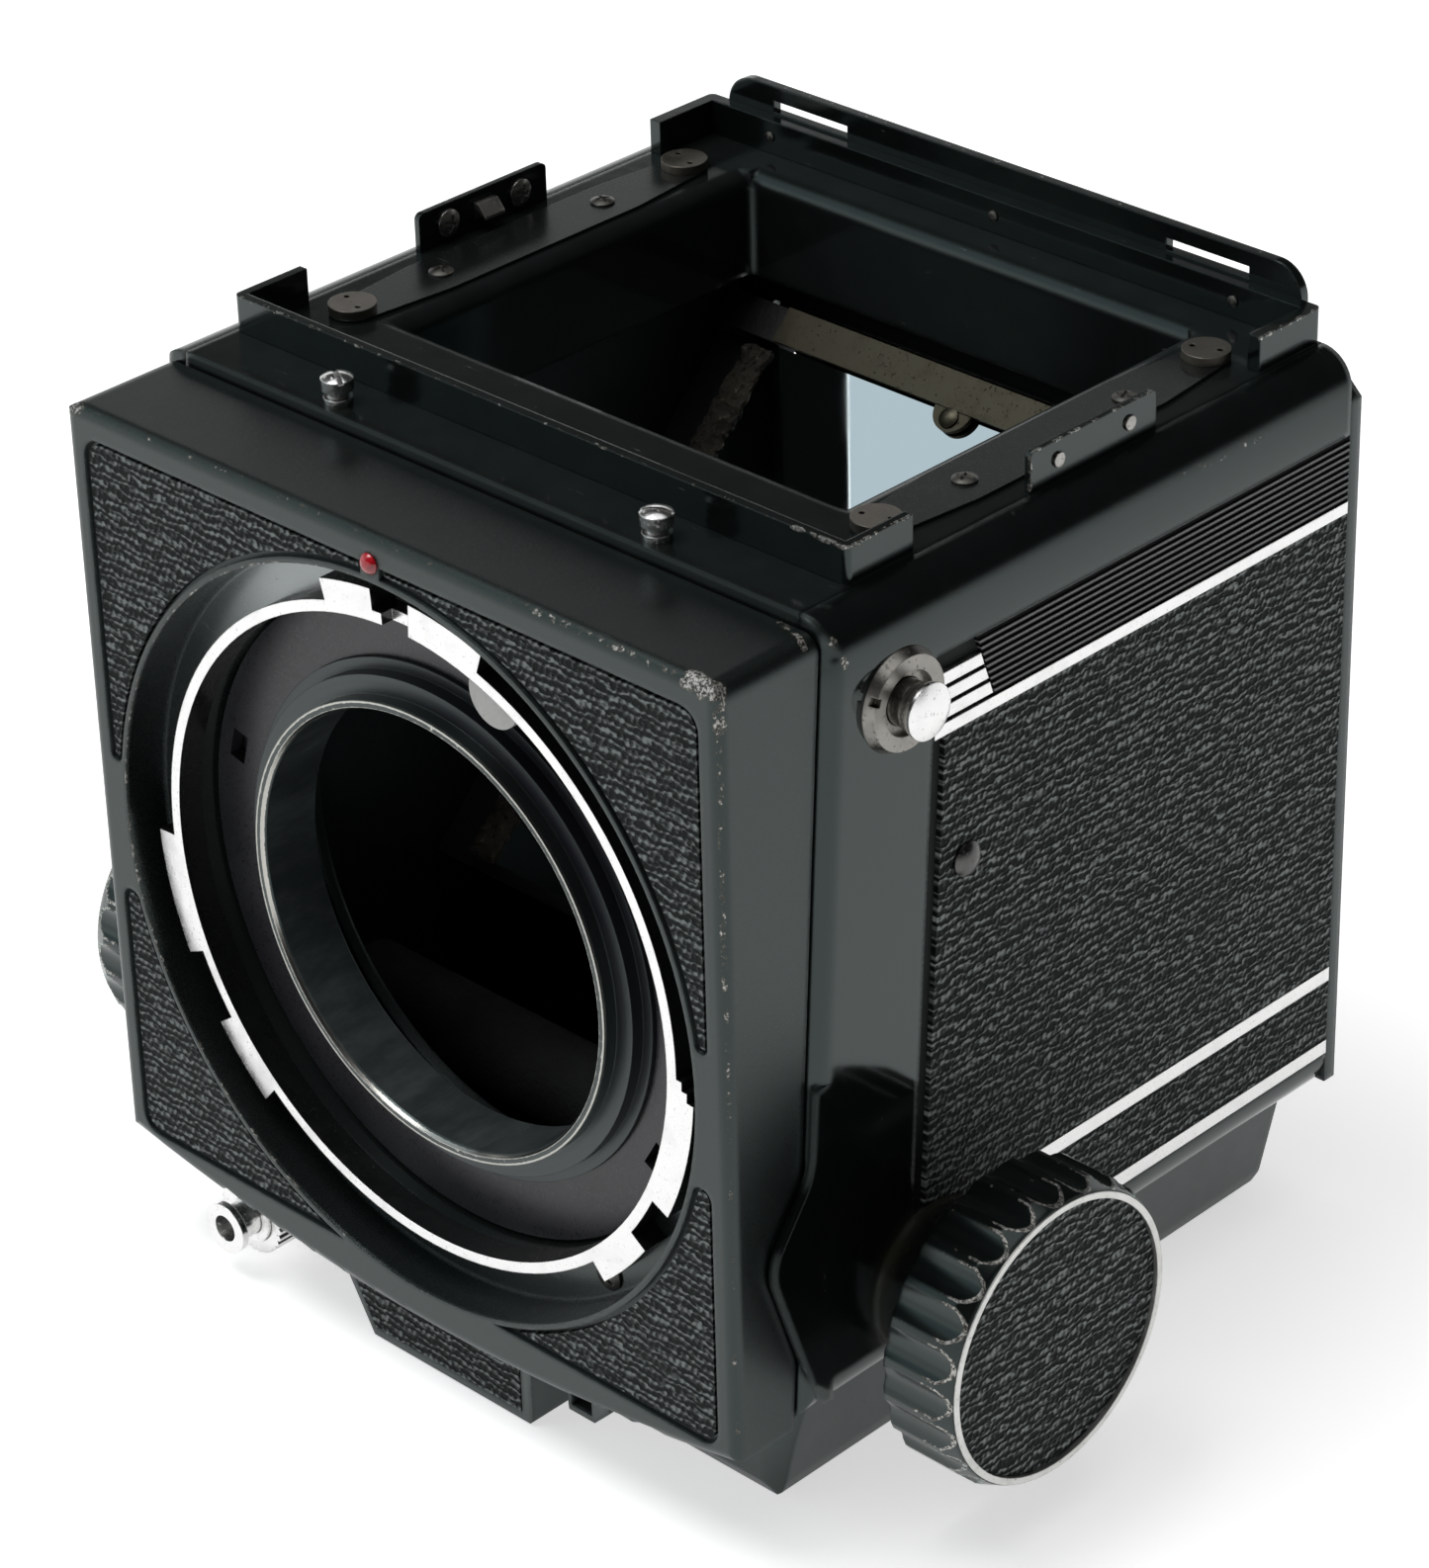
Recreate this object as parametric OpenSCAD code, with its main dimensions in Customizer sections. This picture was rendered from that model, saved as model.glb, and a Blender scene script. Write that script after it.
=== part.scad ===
// Modular medium-format reflex camera body with a bellows-focused front standard.
// Millimetres, +Z up, lens facing -Y. The origin is the mouth of the tripod socket.

/* [Body] */
// Width over the two side covers
body_w = 105; // [96:0.5:120]
// Depth from the face of the front standard to the back of the rear plate
body_depth = 104.3; // [98:0.1:120]
// Height of the base, from its underside to the body's lower edge
base_h = 15.2; // [14.6:0.1:20]
// Height of the top deck above the lens axis
deck_rise = 53.5; // [50:0.5:60]
// Drop of the body's lower edge below the lens axis
body_drop = 46; // [44:0.5:52]
// Thickness of a side cover
cover_t = 3; // [2.6:0.1:3.4]
// Radius along the top edge of a side cover
top_edge_r = 4.4; // [3.6:0.1:4.8]
// Radius along the lower edge of a side cover
low_edge_r = 5; // [3:0.1:6]
// Radius of the front upright edge of a side cover
pillar_r = 2.5; // [1:0.1:3]
// Distance from the face of the front standard back to the tripod socket
tripod_back = 55; // [45:0.5:65]
// Thickness of the rear plate
rear_plate_t = 1.9; // [1.5:0.1:2.5]
// Chamfer on the upper corners of the rear plate
rear_plate_cut = 3.6; // [1:0.1:5]

/* [Front standard] */
// Inset of the standard's sides from the side covers
board_inset = 1.3; // [1:0.1:2]
// Drop of the standard's top below the deck
board_top_gap = 1.5; // [1:0.1:3]
// Drop of the standard's lower edge, at its middle, below the body's lower edge
board_overhang = 5.2; // [4.6:0.1:6]
// Thickness of the front standard at its top
board_top_t = 15.2; // [14:0.1:16]
// Thickness of the front standard at its lower edge
board_low_t = 8.8; // [8.2:0.1:9.6]
// Radius of the bowed lower edge
bow_r = 255; // [230:5:300]
// Radius along the front edges of the standard
board_edge_r = 1.4; // [0.8:0.1:2]
// Least border round the opening in the face of the standard
rim_border = 4.9; // [4.4:0.1:6]
// Depth of the step that carries the bayonet ring
recess_d = 6; // [5.5:0.1:6.4]
// Width of that step
step_w = 6.1; // [5.6:0.1:6.6]
// Depth of the round boss on the back of the standard
boss_d = 12.4; // [12:0.1:12.8]
// Wall of that boss
boss_wall = 3.2; // [2:0.1:3.4]
// Clearance between the standard and the body
board_gap = 0.35; // [0.3:0.05:0.6]
// Forward travel of the standard
travel = 46; // [30:1:50]

/* [Lens mount] */
// Depth of the bayonet ring's front face behind the face of the standard
ring_front = 2.45; // [1.5:0.05:3.5]
// Width of the bayonet ring between its lugs
ring_w = 1.4; // [1.2:0.1:2.6]
// Height of the bayonet lugs
lug_h = 2.6; // [1.4:0.1:2.8]
// Distance from the bore of the standard in to the throat's wall
throat_border = 13; // [12.6:0.1:15]
// Width of the throat's bright rim
throat_rim_w = 1.2; // [0.8:0.1:1.6]
// Depth of that rim behind the face of the standard
throat_rim_d = 4.2; // [3.5:0.1:5]
// Width of the step below the rim
throat_step_w = 2.4; // [2:0.1:2.8]
// Width of the shoulder that the cocking ring turns on
shoulder_w = 1.4; // [1:0.1:1.8]
// Depth of the cocking ring's front face
cock_front = 8.5; // [8.2:0.1:8.8]
// Thickness of the cocking ring
cock_t = 1.7; // [1.3:0.1:1.7]

/* [Mirror chamber] */
// Distance from the side of the casting to the chamber
chamber_inset = 9.4; // [9.2:0.1:12]
// Depth of the chamber's front wall behind the face of the standard
chamber_front = 16.8; // [16.2:0.1:17.5]
// Thickness of the chamber's front wall
chamber_wall = 1.6; // [1.2:0.1:2]
// Thickness of the chamber's side walls
side_wall = 2.5; // [2:0.1:2.8]
// Border between the chamber's side and the opening in its front wall
hole_border = 7; // [5:0.5:10]
// Thickness of the top deck
deck_t = 3.5; // [2.5:0.1:4]
// Border between the chamber's side and the film gate
gate_border = 5; // [4.5:0.1:8]
// Border between the chamber's side and the finder opening
finder_border = 5.5; // [5:0.1:8]
// Depth of the finder opening's front edge behind the face of the standard
finder_front = 36; // [33:0.1:39]
// Distance from the finder opening's rear edge to the back of the rear plate
finder_back = 9.3; // [8.5:0.1:12]
// Depth of the skirt round the finder opening below the deck
skirt_h = 10; // [6:0.1:10.5]
// Radius along the upper edges of the finder opening
finder_edge_r = 2; // [1:0.1:2.5]
// Gap between the mirror frame and the chamber's side
mirror_gap = 1; // [0.8:0.1:5]
// Width of the frame beside the mirror glass
glass_border = 10.6; // [9:0.1:13]
// Gap between the raised mirror and the chamber's front wall
mirror_front_gap = 1.2; // [1:0.1:6]
// Thickness of the mirror glass
glass_t = 1.8; // [1.5:0.1:2]
// Radius of the mirror's hinge pin
mirror_pin_r = 1.25; // [1:0.05:1.4]

/* [Focus drive] */
// Depth of the focus shaft behind the face of the standard
shaft_back = 30.8; // [28:0.1:34]
// Height of the focus shaft above the body's lower edge
shaft_rise = 10.7; // [10.4:0.1:11.8]
// Radius of the focus shaft
shaft_r = 3; // [2.5:0.1:3.3]
// Distance from a side cover out to the face of its focus knob
knob_reach = 19.1; // [17:0.1:24]
// Width of a focus knob
knob_t = 10; // [8:0.1:11]
// Radius over the flutes of a focus knob
knob_r = 18.6; // [17:0.1:20]
// Number of flutes round a knob
flutes = 24; // [18:1:26]
// Radius of one flute
flute_r = 3.3; // [2.6:0.1:3.4]
// Depth of a flute
flute_depth = 0.75; // [0.6:0.05:0.8]
// Width of the coned shoulder that the flutes run out on
knob_rim = 2.1; // [1.6:0.1:3]
// Inset of a knob's bright ring from the knob's rim
knob_ring_inset = 1; // [0.8:0.1:2]
// Width of that ring
knob_ring_w = 0.8; // [0.6:0.1:2]
// Tooth module of the pinions and racks
tooth_module = 0.8; // [0.74:0.01:0.86]
// Teeth on a pinion
pinion_teeth = 18; // [16:1:19]
// Width of a pinion
pinion_w = 3.6; // [3:0.1:4]

/* [Finder seat] */
// Inset of the finder walls from the edge of the deck
seat_inset = 0.3; // [0:0.1:1]
// Height of the finder front wall above the deck
seat_wall_h = 4.6; // [3.5:0.1:6]
// Thickness of the finder front wall
front_wall_t = 1.2; // [1:0.1:1.6]
// Thickness of the finder rear wall
rear_wall_t = 1.7; // [1.2:0.1:2]
// Depth of the front wall behind the face of the standard
seat_front = 23.2; // [22.6:0.1:25]
// Length of the front wall's side returns
front_return = 10.3; // [8:0.1:12]
// Length of the rear wall's side returns
rear_return = 11; // [8:0.1:12]
// Height of the rear wall above the deck
rear_wall_h = 4.4; // [3.5:0.1:6]
// Inset of the slotted rear bracket from the ends of the rear wall
bracket_inset = 2.9; // [1:0.1:5]
// Height of the slotted rear bracket above the deck
bracket_h = 8.1; // [7.4:0.1:9]
// Distance from the bracket's end to the middle of its slot
bracket_slot_inset = 13.75; // [10:0.05:20]
// Length of a bracket slot
bracket_slot_len = 12.2; // [8:0.1:14]
// Distance from the side of the finder opening to the middle of a spring strip
spring_gap = 6.5; // [6:0.1:7]
// Width of a spring strip at its middle
spring_w = 8.2; // [7:0.1:8.6]
// Length of the finder opening left over by the span of a strip's two discs
spring_margin = 3.9; // [2:0.1:8]
// Radius of a two-hole disc
disc_r = 2.85; // [2.4:0.05:3.1]
// Distance of the finder posts from the middle plane
post_x = 25; // [18:0.5:34]

/* [Side trim] */
// Depth of the recess for leather and trim in a side cover
skin_d = 0.6; // [0.4:0.05:0.8]
// Drop of the ribbed strip's upper edge below the deck
name_drop = 10.3; // [9.2:0.1:11]
// Height of the ribbed strip and the long stripe together
name_h = 9.8; // [9:0.1:11]
// Width of a short stripe
stripe_w = 1.5; // [1.2:0.05:1.7]
// Pitch of the stripes beside the strap lug
stripe_pitch = 2.05; // [2:0.05:2.2]
// Height of the upper low stripe's top above the body's lower edge
low_stripe_rise = 18.1; // [17:0.1:20]
// Height of the lower low stripe's top above the body's lower edge
bottom_stripe_rise = 7.7; // [7.4:0.1:9]
// Width of the low stripes
low_stripe_w = 1.9; // [1.4:0.1:2.2]
// Depth of the strap lugs behind the face of the standard
lug_back = 26.2; // [25:0.1:27.5]
// Drop of the strap lugs below the deck
lug_drop = 12.9; // [12:0.1:14]
// Radius of a strap lug's washer
washer_r = 6.1; // [5:0.1:6.4]
// Radius of a strap lug's head
lug_head_r = 3.3; // [2.8:0.1:3.6]

/* [Base] */
// Inset of the base's underside from the flat of the body's underside
base_inset = 1.3; // [0.6:0.1:3]
// Depth of the base's front face behind the face of the standard
base_front = 12.4; // [11.5:0.1:13.5]
// Distance from the base's rear edge to the back of the rear plate
base_rear = 5.3; // [4:0.1:10]
// Wall of the base
base_wall = 3; // [2.5:0.1:4]
// Depth of the nose's face behind the face of the standard
nose_front = 4; // [2:0.1:6]
// Radius of the tripod socket's thread
tripod_r = 3.175; // [3:0.025:4.8]
// Depth of the tripod socket
tripod_len = 9; // [7:0.1:10]
// Distance from the side of the base in to the release button
release_inset = 9.7; // [8.6:0.1:12]
// Depth of the release button's face behind the face of the standard
release_front = 0.6; // [0:0.1:2]
// Radius of the release button's head
release_r = 3.3; // [2.8:0.1:3.4]
// Radius of the lock collar round the release button
collar_r = 5.3; // [4.8:0.1:5.6]
// Gap between the lock collar and the standard's lower edge
collar_gap = 0.58; // [0.4:0.02:0.8]
// Travel of the release button
release_travel = 2.6; // [2:0.1:2.8]

/* [Cocking lever] */
// Depth of the lever's pivot behind the face of the standard
lever_back = 54; // [50:0.5:60]
// Drop of the lever's pivot below the lens axis
lever_drop = 4; // [0:0.5:8]
// Length of the lever from its pivot
lever_len = 34; // [28:0.5:38]
// Radius of the lever's hub
lever_hub_r = 8; // [6:0.1:9]

/* [Hidden] */
$fn = 72;
// Running clearance of turning fits, on the radius
run_gap = 0.05;
// Clearance of pieces that are seated in each other
seat_gap = 0.1;
// Overshoot of cutting shapes
over = 1;
// Body
axis_h = base_h + body_drop;
half_w = body_w / 2;
cover_in = half_w - cover_t;
cast_half = cover_in - seat_gap;
deck_half = half_w - top_edge_r;
low_half = half_w - low_edge_r - 1;
low_lip = 2;
rear_face = body_depth - rear_plate_t;
// Front standard and lens mount
board_half = half_w - board_inset;
board_w = 2 * board_half;
board_rise = deck_rise - board_top_gap;
board_drop = body_drop + board_overhang;
lean = atan((board_top_t - board_low_t) / (board_rise + board_drop));
rim_r = min(board_half, board_rise, board_drop) - rim_border;
bore_r = rim_r - step_w;
ring_in_r = bore_r - 0.5;
ring_out_r = ring_in_r + ring_w;
lug_r = ring_out_r + lug_h;
throat_r = bore_r - throat_border;
throat_rim_r = throat_r + throat_rim_w;
throat_step_r = throat_rim_r + throat_step_w;
shoulder_r = throat_step_r + shoulder_w;
cock_slot_r = (shoulder_r + bore_r) / 2 + 0.3;
// Well and bellows between the standard and the chamber
well_half = min(cast_half - 5.4, body_drop - low_lip);
pocket_half = well_half - 1;
bellows_out = pocket_half - 1.5;
bellows_in = bellows_out - 7;
bellows_corner_r = 4;
// Mirror chamber
chamber_half = cast_half - chamber_inset;
chamber_w = 2 * chamber_half;
chamber_hole_r = chamber_half - hole_border;
gate_wall = 3.4;
gate_w = chamber_w - 2 * gate_border;
opening_corner_r = 1;
skirt_t = 1.6;
chamber_back = rear_face - gate_wall;
chamber_rear_of_front = chamber_front + chamber_wall;
chamber_top = deck_rise - deck_t;
chamber_floor = body_drop - low_lip;
finder_w = chamber_w - 2 * finder_border;
finder_rear = body_depth - finder_back;
// Mirror and light baffle
mirror_w = chamber_w - 2 * mirror_gap;
glass_w = mirror_w - 2 * glass_border;
hinge_d = body_depth - 8.3;
mirror_len = hinge_d - chamber_rear_of_front - mirror_front_gap;
mirror_face = 2.12;
mirror_plate = 2;
mirror_top = mirror_face - glass_t;
knuckle_r = mirror_pin_r + 1.25;
bar_front = 2.2;
bar_back = 2.4;
bar_t = 0.9;
bar_reach = norm([bar_back, knuckle_r + bar_t]);
// The hinge lies below the film gate's upper edge, with its bar clear of the deck's skirt
hinge_drop = 2;
hinge_gap = 0.6;
hinge_z = min(gate_w / 2 - hinge_drop, chamber_top - skirt_h - bar_reach - hinge_gap);
foam_w = 4.2;
baffle_back = mirror_pin_r + 0.45;
baffle_t = 0.6;
baffle_w = gate_w + 6;
baffle_len = hinge_z + gate_w / 2 + 1;
// Focus drive
shaft_drop = body_drop - shaft_rise;
pinion_pitch_r = tooth_module * pinion_teeth / 2;
tooth_pitch = PI * tooth_module;
pocket_in = chamber_half + side_wall;
rack_x = (pocket_in + cover_in) / 2;
rack_w = 4;
rack_line = pinion_pitch_r - shaft_drop;
rack_h = 6;
knob_face = half_w + knob_reach;
knob_in = knob_face - knob_t;
knob_ring_r = knob_r - knob_ring_inset;
knob_boss_r = 9.5;
knob_boss_end = knob_in - 0.5;
sleeve_r = 5.6;
// Finder seat
seat_w = 2 * (deck_half - seat_inset);
bracket_w = seat_w - 2 * bracket_inset;
bracket_slot_pitch = bracket_w - 2 * bracket_slot_inset;
spring_x = finder_w / 2 + spring_gap;
spring_span = finder_rear - finder_front - spring_margin;
spring_mid = (finder_front + finder_rear) / 2 - 2.75;
strip_t = 0.4;
rivet_pitch = seat_w / 2 - 11.4;
post_back = seat_front - 5;
post_foot_r = 1.7;
post_foot_h = 0.8;
post_neck_r = 1.2;
post_neck_h = 2.4;
post_head_r = 1.9;
post_head_h = 1.9;
post_head_z = 1.7;
post_slot_w = 0.6;
post_slot_z = 2.9;
clip_x = seat_w / 2 - 0.5;
clip_mid = spring_mid - 0.3;
clip_t = 0.8;
clip_h = 4.9;
clip_len = 21;
clip_screw_span = 11.9;
clip_screw_z = 2.5;
clip_screw_r = 1.7;
clip_screw_h = 0.8;
clip_screw_neck_r = 0.85;
clip_screw_end = 0.3;
// Side trim
name_top = deck_rise - name_drop;
stripe_z = name_top - name_h;
low_stripe_z = body_drop - low_stripe_rise;
bottom_stripe_z = body_drop - bottom_stripe_rise;
panel_front_top = 31.4;
panel_rear = rear_face - seat_gap;
skin_proud = 0.1;
leather_groove = 1.7;
lug_rise = deck_rise - lug_drop;
lug_span = 3.8;
lug_neck_r = lug_head_r - 0.6;
washer_t = 1.3;
plug_back = 36.5;
plug_rise = 16.6;
plug_r = 2.1;
plug_h = 1.1;
// Base and release
base_half = low_half - base_inset;
base_corner_r = 5;
bush_r = 8;
nose_top = board_drop + 0.4;
nose_left = 18.5;
nose_toe = 13;
nose_right = 14;
stop_x = 17.8;
release_x = base_half - release_inset;
bow_sag = bow_r - sqrt(bow_r * bow_r - release_x * release_x);
release_drop = board_drop - bow_sag + collar_gap + collar_r;
button_t = 0.9;
sleeve_front = release_front + button_t + release_travel + 0.3;
collar_front = sleeve_front + 0.5;
sleeve_in_r = release_r - 0.9;
sleeve_out_r = sleeve_in_r + 1.2;
collar_in_r = sleeve_out_r + run_gap;
// Cocking lever
lever_shaft_r = 3;
lever_t = 2.6;
// Leather fields on the face of the standard
patch_side = board_half - 2.9;
patch_top = board_rise - 3.6;
patch_low = board_drop - 6;
patch_border = 0.8;
patch_gap_top = 7.2;
patch_gap_low = 12;
patch_sink = 0.25;
patch_inset = 0.5;
patch_corner_r = 2.6;
leather_t = 0.6;
// Index dot at the top of the opening
dot_x = -0.8;
dot_z = board_rise - 3.4;
dot_r = 1.25;
// Angles of the lugs and notches round the bayonet ring
ring_lugs = [[72, 87], [95, 106], [183, 204], [216, 230], [311, 324], [333.5, 356]];
ring_notches = [[87, 93]];
// Angles and height of the steps at the end of a lug
ring_steps = [[354, 357.6, 1.6], [354, 359.2, 0.8]];

// Colours of the finishes
paint = [0.05, 0.055, 0.06];
leather = [0.11, 0.115, 0.12];
chrome = [0.86, 0.87, 0.88];
steel = [0.55, 0.53, 0.5];
brass = [0.38, 0.34, 0.24];
glass = [0.7, 0.78, 0.82];
cloth = [0.03, 0.03, 0.035];
foam = [0.16, 0.14, 0.11];
red = [0.75, 0.03, 0.05];

// Frames and sweeps

// Places children by depth behind the standard's face and height about the lens axis
module lens_frame() translate([0, -tripod_back, axis_h]) children();

// Sweeps a (depth, height) outline along x
module along_x(x0, x1) translate([x0, 0, 0]) rotate([90, 0, 90]) linear_extrude(x1 - x0) children();

// Sweeps an (x, height) outline along the depth
module along_y(y0, y1) translate([0, y1, 0]) rotate([90, 0, 0]) linear_extrude(y1 - y0) children();

// Turns an outline of (radius, depth) points about the lens axis
module turned() rotate([-90, 0, 0]) rotate_extrude($fn = 144) children();

module left_side() mirror([1, 0, 0]) children();

module both_sides() {
    children();
    left_side() children();
}

// A rectangle from (x0, y0) to (x1, y1) with a corner radius of its own at each corner
module soft_box(x0, y0, x1, y1, r00 = 0, r10 = 0, r11 = 0, r01 = 0) {
    difference() {
        translate([x0, y0]) square([x1 - x0, y1 - y0]);
        corner_cut(x0, y0, 1, 1, r00);
        corner_cut(x1, y0, -1, 1, r10);
        corner_cut(x1, y1, -1, -1, r11);
        corner_cut(x0, y1, 1, -1, r01);
    }
}

// What is left outside a corner radius
module corner_cut(x, y, sx, sy, r) {
    if (r > 0)
        translate([x, y]) mirror([sx < 0 ? 1 : 0, 0]) mirror([0, sy < 0 ? 1 : 0])
            difference() {
                translate([-over, -over]) square(r + over);
                translate([r, r]) circle(r);
            }
}

// Point at a radius and angle
function polar(r, turn) = [r * cos(turn), r * sin(turn)];

// Points of the arc that rounds the corner between two points
function fillet(from, corner, to, r) = let (
    u = (from - corner) / norm(from - corner),
    w = (to - corner) / norm(to - corner),
    half = acos(u * w) / 2,
    centre = corner + (u + w) / norm(u + w) * r / sin(half),
    first = corner + u * r / tan(half) - centre,
    last = corner + w * r / tan(half) - centre,
    start = atan2(first[1], first[0]),
    sweep = atan2(first[0] * last[1] - first[1] * last[0], first * last)
) [for (i = [0 : 8]) centre + polar(r, start + sweep * i / 8)];

// A ring sector between two angles
module sector(r0, r1, a0, a1) {
    reach = 2 * r1;
    difference() {
        intersection() {
            circle(r1, $fn = 144);
            polygon([[0, 0], reach * [cos(a0), sin(a0)], reach * [cos((a0 + a1) / 2), sin((a0 + a1) / 2)],
                reach * [cos(a1), sin(a1)]]);
        }
        circle(r0, $fn = 144);
    }
}

// Depth of the standard's leaning back at a height
function back_depth(z) = board_low_t + (z + board_drop) * tan(lean);

// Everything behind the leaning parting plane, as an outline of (x, depth) swept up it
module behind_parting(gap) {
    translate([0, back_depth(0) + gap / cos(lean), 0])
        rotate([-lean, 0, 0]) translate([0, 0, -2 * body_drop]) linear_extrude(4 * body_drop) children();
}

// Body casting, top deck and the chamber's front and rear walls

module cast_outline() {
    top_step = deck_rise - top_edge_r - seat_gap;
    low_step = body_drop - low_edge_r + low_lip + seat_gap;
    union() {
        translate([-cast_half, -low_step]) square([2 * cast_half, low_step + top_step]);
        translate([-deck_half + seat_gap, 0]) square([2 * (deck_half - seat_gap), deck_rise]);
        translate([-low_half + seat_gap, -body_drop]) square([2 * (low_half - seat_gap), body_drop]);
    }
}

// Outline of the casting below the deck
module wall_outline() intersection() {
    cast_outline();
    translate([-half_w, -axis_h]) square([body_w, axis_h + chamber_top]);
}

module cast_block() intersection() {
    children();
    behind_parting(board_gap) translate([-half_w, 0]) square([body_w, 2 * body_depth]);
}

// Walls and floor round the chamber, open at the top and at the back
module body_casting() color(paint) lens_frame() difference() {
    cast_block() along_y(0, chamber_back) wall_outline();
    // Well for the bellows, then the chamber
    along_y(0, chamber_front) square(2 * well_half, center = true);
    translate([-chamber_half, chamber_front, -chamber_floor])
        cube([chamber_w, body_depth, chamber_floor + deck_rise]);
    // Side pockets for racks and pinions
    both_sides() translate([pocket_in, 0, -chamber_floor - seat_gap])
        cube([half_w, chamber_back - over, chamber_floor + rack_line + rack_h + over]);
    // Bores for the focus shaft, the mirror pin and the lever shaft
    translate([0, shaft_back, -shaft_drop]) along_x(-half_w, half_w) circle(shaft_r + run_gap);
    translate([0, hinge_d, hinge_z]) along_x(-pocket_in, pocket_in) circle(mirror_pin_r + run_gap);
    left_side() translate([0, lever_back, -lever_drop])
        along_x(pocket_in, half_w) circle(lever_shaft_r + run_gap);
}

module top_deck() color(paint) lens_frame() difference() {
    union() {
        cast_block() intersection() {
            along_y(0, rear_face) cast_outline();
            translate([-half_w, 0, chamber_top]) cube([body_w, body_depth, deck_t]);
        }
        translate([0, 0, chamber_top - skirt_h]) linear_extrude(skirt_h + over)
            opening(finder_w + 2 * skirt_t, finder_front - skirt_t, finder_rear + skirt_t);
    }
    translate([0, 0, chamber_top - skirt_h - over]) linear_extrude(deck_t + skirt_h + 2 * over)
        opening(finder_w, finder_front, finder_rear);
    both_sides() along_y(finder_front, finder_rear)
        corner_cut(finder_w / 2, deck_rise, 1, -1, finder_edge_r);
    along_x(-finder_w / 2, finder_w / 2) corner_cut(finder_rear, deck_rise, 1, -1, finder_edge_r);
}

// Rear wall of the chamber with the square film gate
module gate_frame() color(paint) lens_frame() along_y(chamber_back, rear_face) difference() {
    wall_outline();
    opening(gate_w, -gate_w / 2, gate_w / 2);
}

// Front wall of the chamber, which the bellows is fixed to
module chamber_front_wall() color(paint) lens_frame()
    along_y(chamber_front, chamber_rear_of_front) difference() {
        translate([-chamber_half + seat_gap, -chamber_floor])
            square([chamber_w - 2 * seat_gap, chamber_floor + chamber_top]);
        circle(chamber_hole_r);
    }

module opening(width, y0, y1) soft_box(-width / 2, y0, width / 2, y1,
    opening_corner_r, opening_corner_r, opening_corner_r, opening_corner_r);

// Side covers, made for the right side and mirrored

// Front edge of the leather panel, parallel to the parting plane
function panel_front(z) = panel_front_top + (z - stripe_z) * tan(lean);

module cover_section() {
    soft_box(cover_in, -body_drop, half_w, deck_rise, 0, low_edge_r, top_edge_r, 0);
    translate([deck_half, deck_rise - top_edge_r]) intersection() {
        square(top_edge_r);
        circle(top_edge_r);
    }
    translate([low_half, -body_drop]) square([cover_in - low_half + 0.01, low_lip]);
}

// Height about the lens axis of a point that lies so far above the body's lower edge
function above_low(h) = h - body_drop;

// Forward bulge of the cover beside the standard, with its corners rounded
module cover_bulge() {
    function on_parting(h) = [back_depth(above_low(h)) + board_gap + 0.05, above_low(h)];
    crest = [4.6, above_low(24)];
    foot = [12.2, above_low(2)];
    inside = [back_depth(above_low(2)) + 5, above_low(2)];
    polygon(concat([on_parting(44) + [3, 0], on_parting(44)],
        fillet(on_parting(44), on_parting(33.5), crest, 9),
        fillet(on_parting(33.5), crest, foot, 6),
        fillet(crest, foot, inside, 2.4), [inside]));
}

// Recess that takes leather and trim
module panel_outline(grow) polygon([
    [panel_front(-bottom_stripe_z) - grow, -bottom_stripe_z - low_stripe_w - grow],
    [panel_front(name_top) - grow, name_top + grow],
    [panel_rear + over, name_top + grow],
    [panel_rear + over, -bottom_stripe_z - low_stripe_w - grow]]);

module side_cover() lens_frame() difference() {
    union() {
        intersection() {
            along_y(0, rear_face) cover_section();
            behind_parting(board_gap)
                soft_box(0, 0, half_w, 2 * body_depth, 0, pillar_r, 0, 0);
        }
        along_x(board_half + board_gap, half_w) cover_bulge();
        translate([0, shaft_back, -shaft_drop]) along_x(cover_in, knob_boss_end) circle(knob_boss_r);
    }
    difference() {
        along_x(half_w - skin_d, half_w + over) panel_outline(seat_gap);
        translate([0, shaft_back, -shaft_drop]) along_x(cover_in, knob_boss_end) circle(knob_boss_r);
        translate([0, lug_back, lug_rise]) along_x(cover_in, half_w) circle(washer_r + seat_gap);
    }
    translate([0, shaft_back, -shaft_drop]) along_x(0, knob_face) circle(shaft_r + run_gap);
}

module side_cover_right() color(paint) side_cover();

module side_cover_left() color(paint) difference() {
    left_side() side_cover();
    lens_frame() left_side() translate([0, lever_back, -lever_drop])
        along_x(cover_in - over, half_w + over) circle(lever_shaft_r + run_gap);
}

// Side trim, made for the right side and mirrored

// Slanted front end of the ribbed strip
function name_front(z) = 41.8 - (z - stripe_z) * 0.35;

module trim_room() {
    translate([shaft_back, -shaft_drop]) circle(knob_boss_r + seat_gap);
    translate([lug_back, lug_rise]) circle(washer_r + 2 * seat_gap);
}

module side_leather() lens_frame() along_x(half_w - skin_d, half_w + skin_proud) difference() {
    intersection() {
        panel_outline(0);
        translate([leather_groove, 0]) panel_outline(0);
    }
    trim_room();
    translate([0, stripe_z - seat_gap]) square([2 * body_depth, name_top]);
    translate([0, -low_stripe_z - low_stripe_w - seat_gap])
        square([2 * body_depth, low_stripe_w + 2 * seat_gap]);
    translate([0, -bottom_stripe_z - low_stripe_w - over])
        square([2 * body_depth, low_stripe_w + over + seat_gap]);
    translate([panel_rear, -body_drop]) square([2 * body_depth, 2 * body_drop]);
}

module side_leather_right() color(leather) side_leather();

module side_leather_left() color(leather) difference() {
    left_side() side_leather();
    lens_frame() left_side() translate([0, lever_back, -lever_drop])
        along_x(cover_in, half_w + over) circle(lever_shaft_r + 2 * seat_gap);
}

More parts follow.
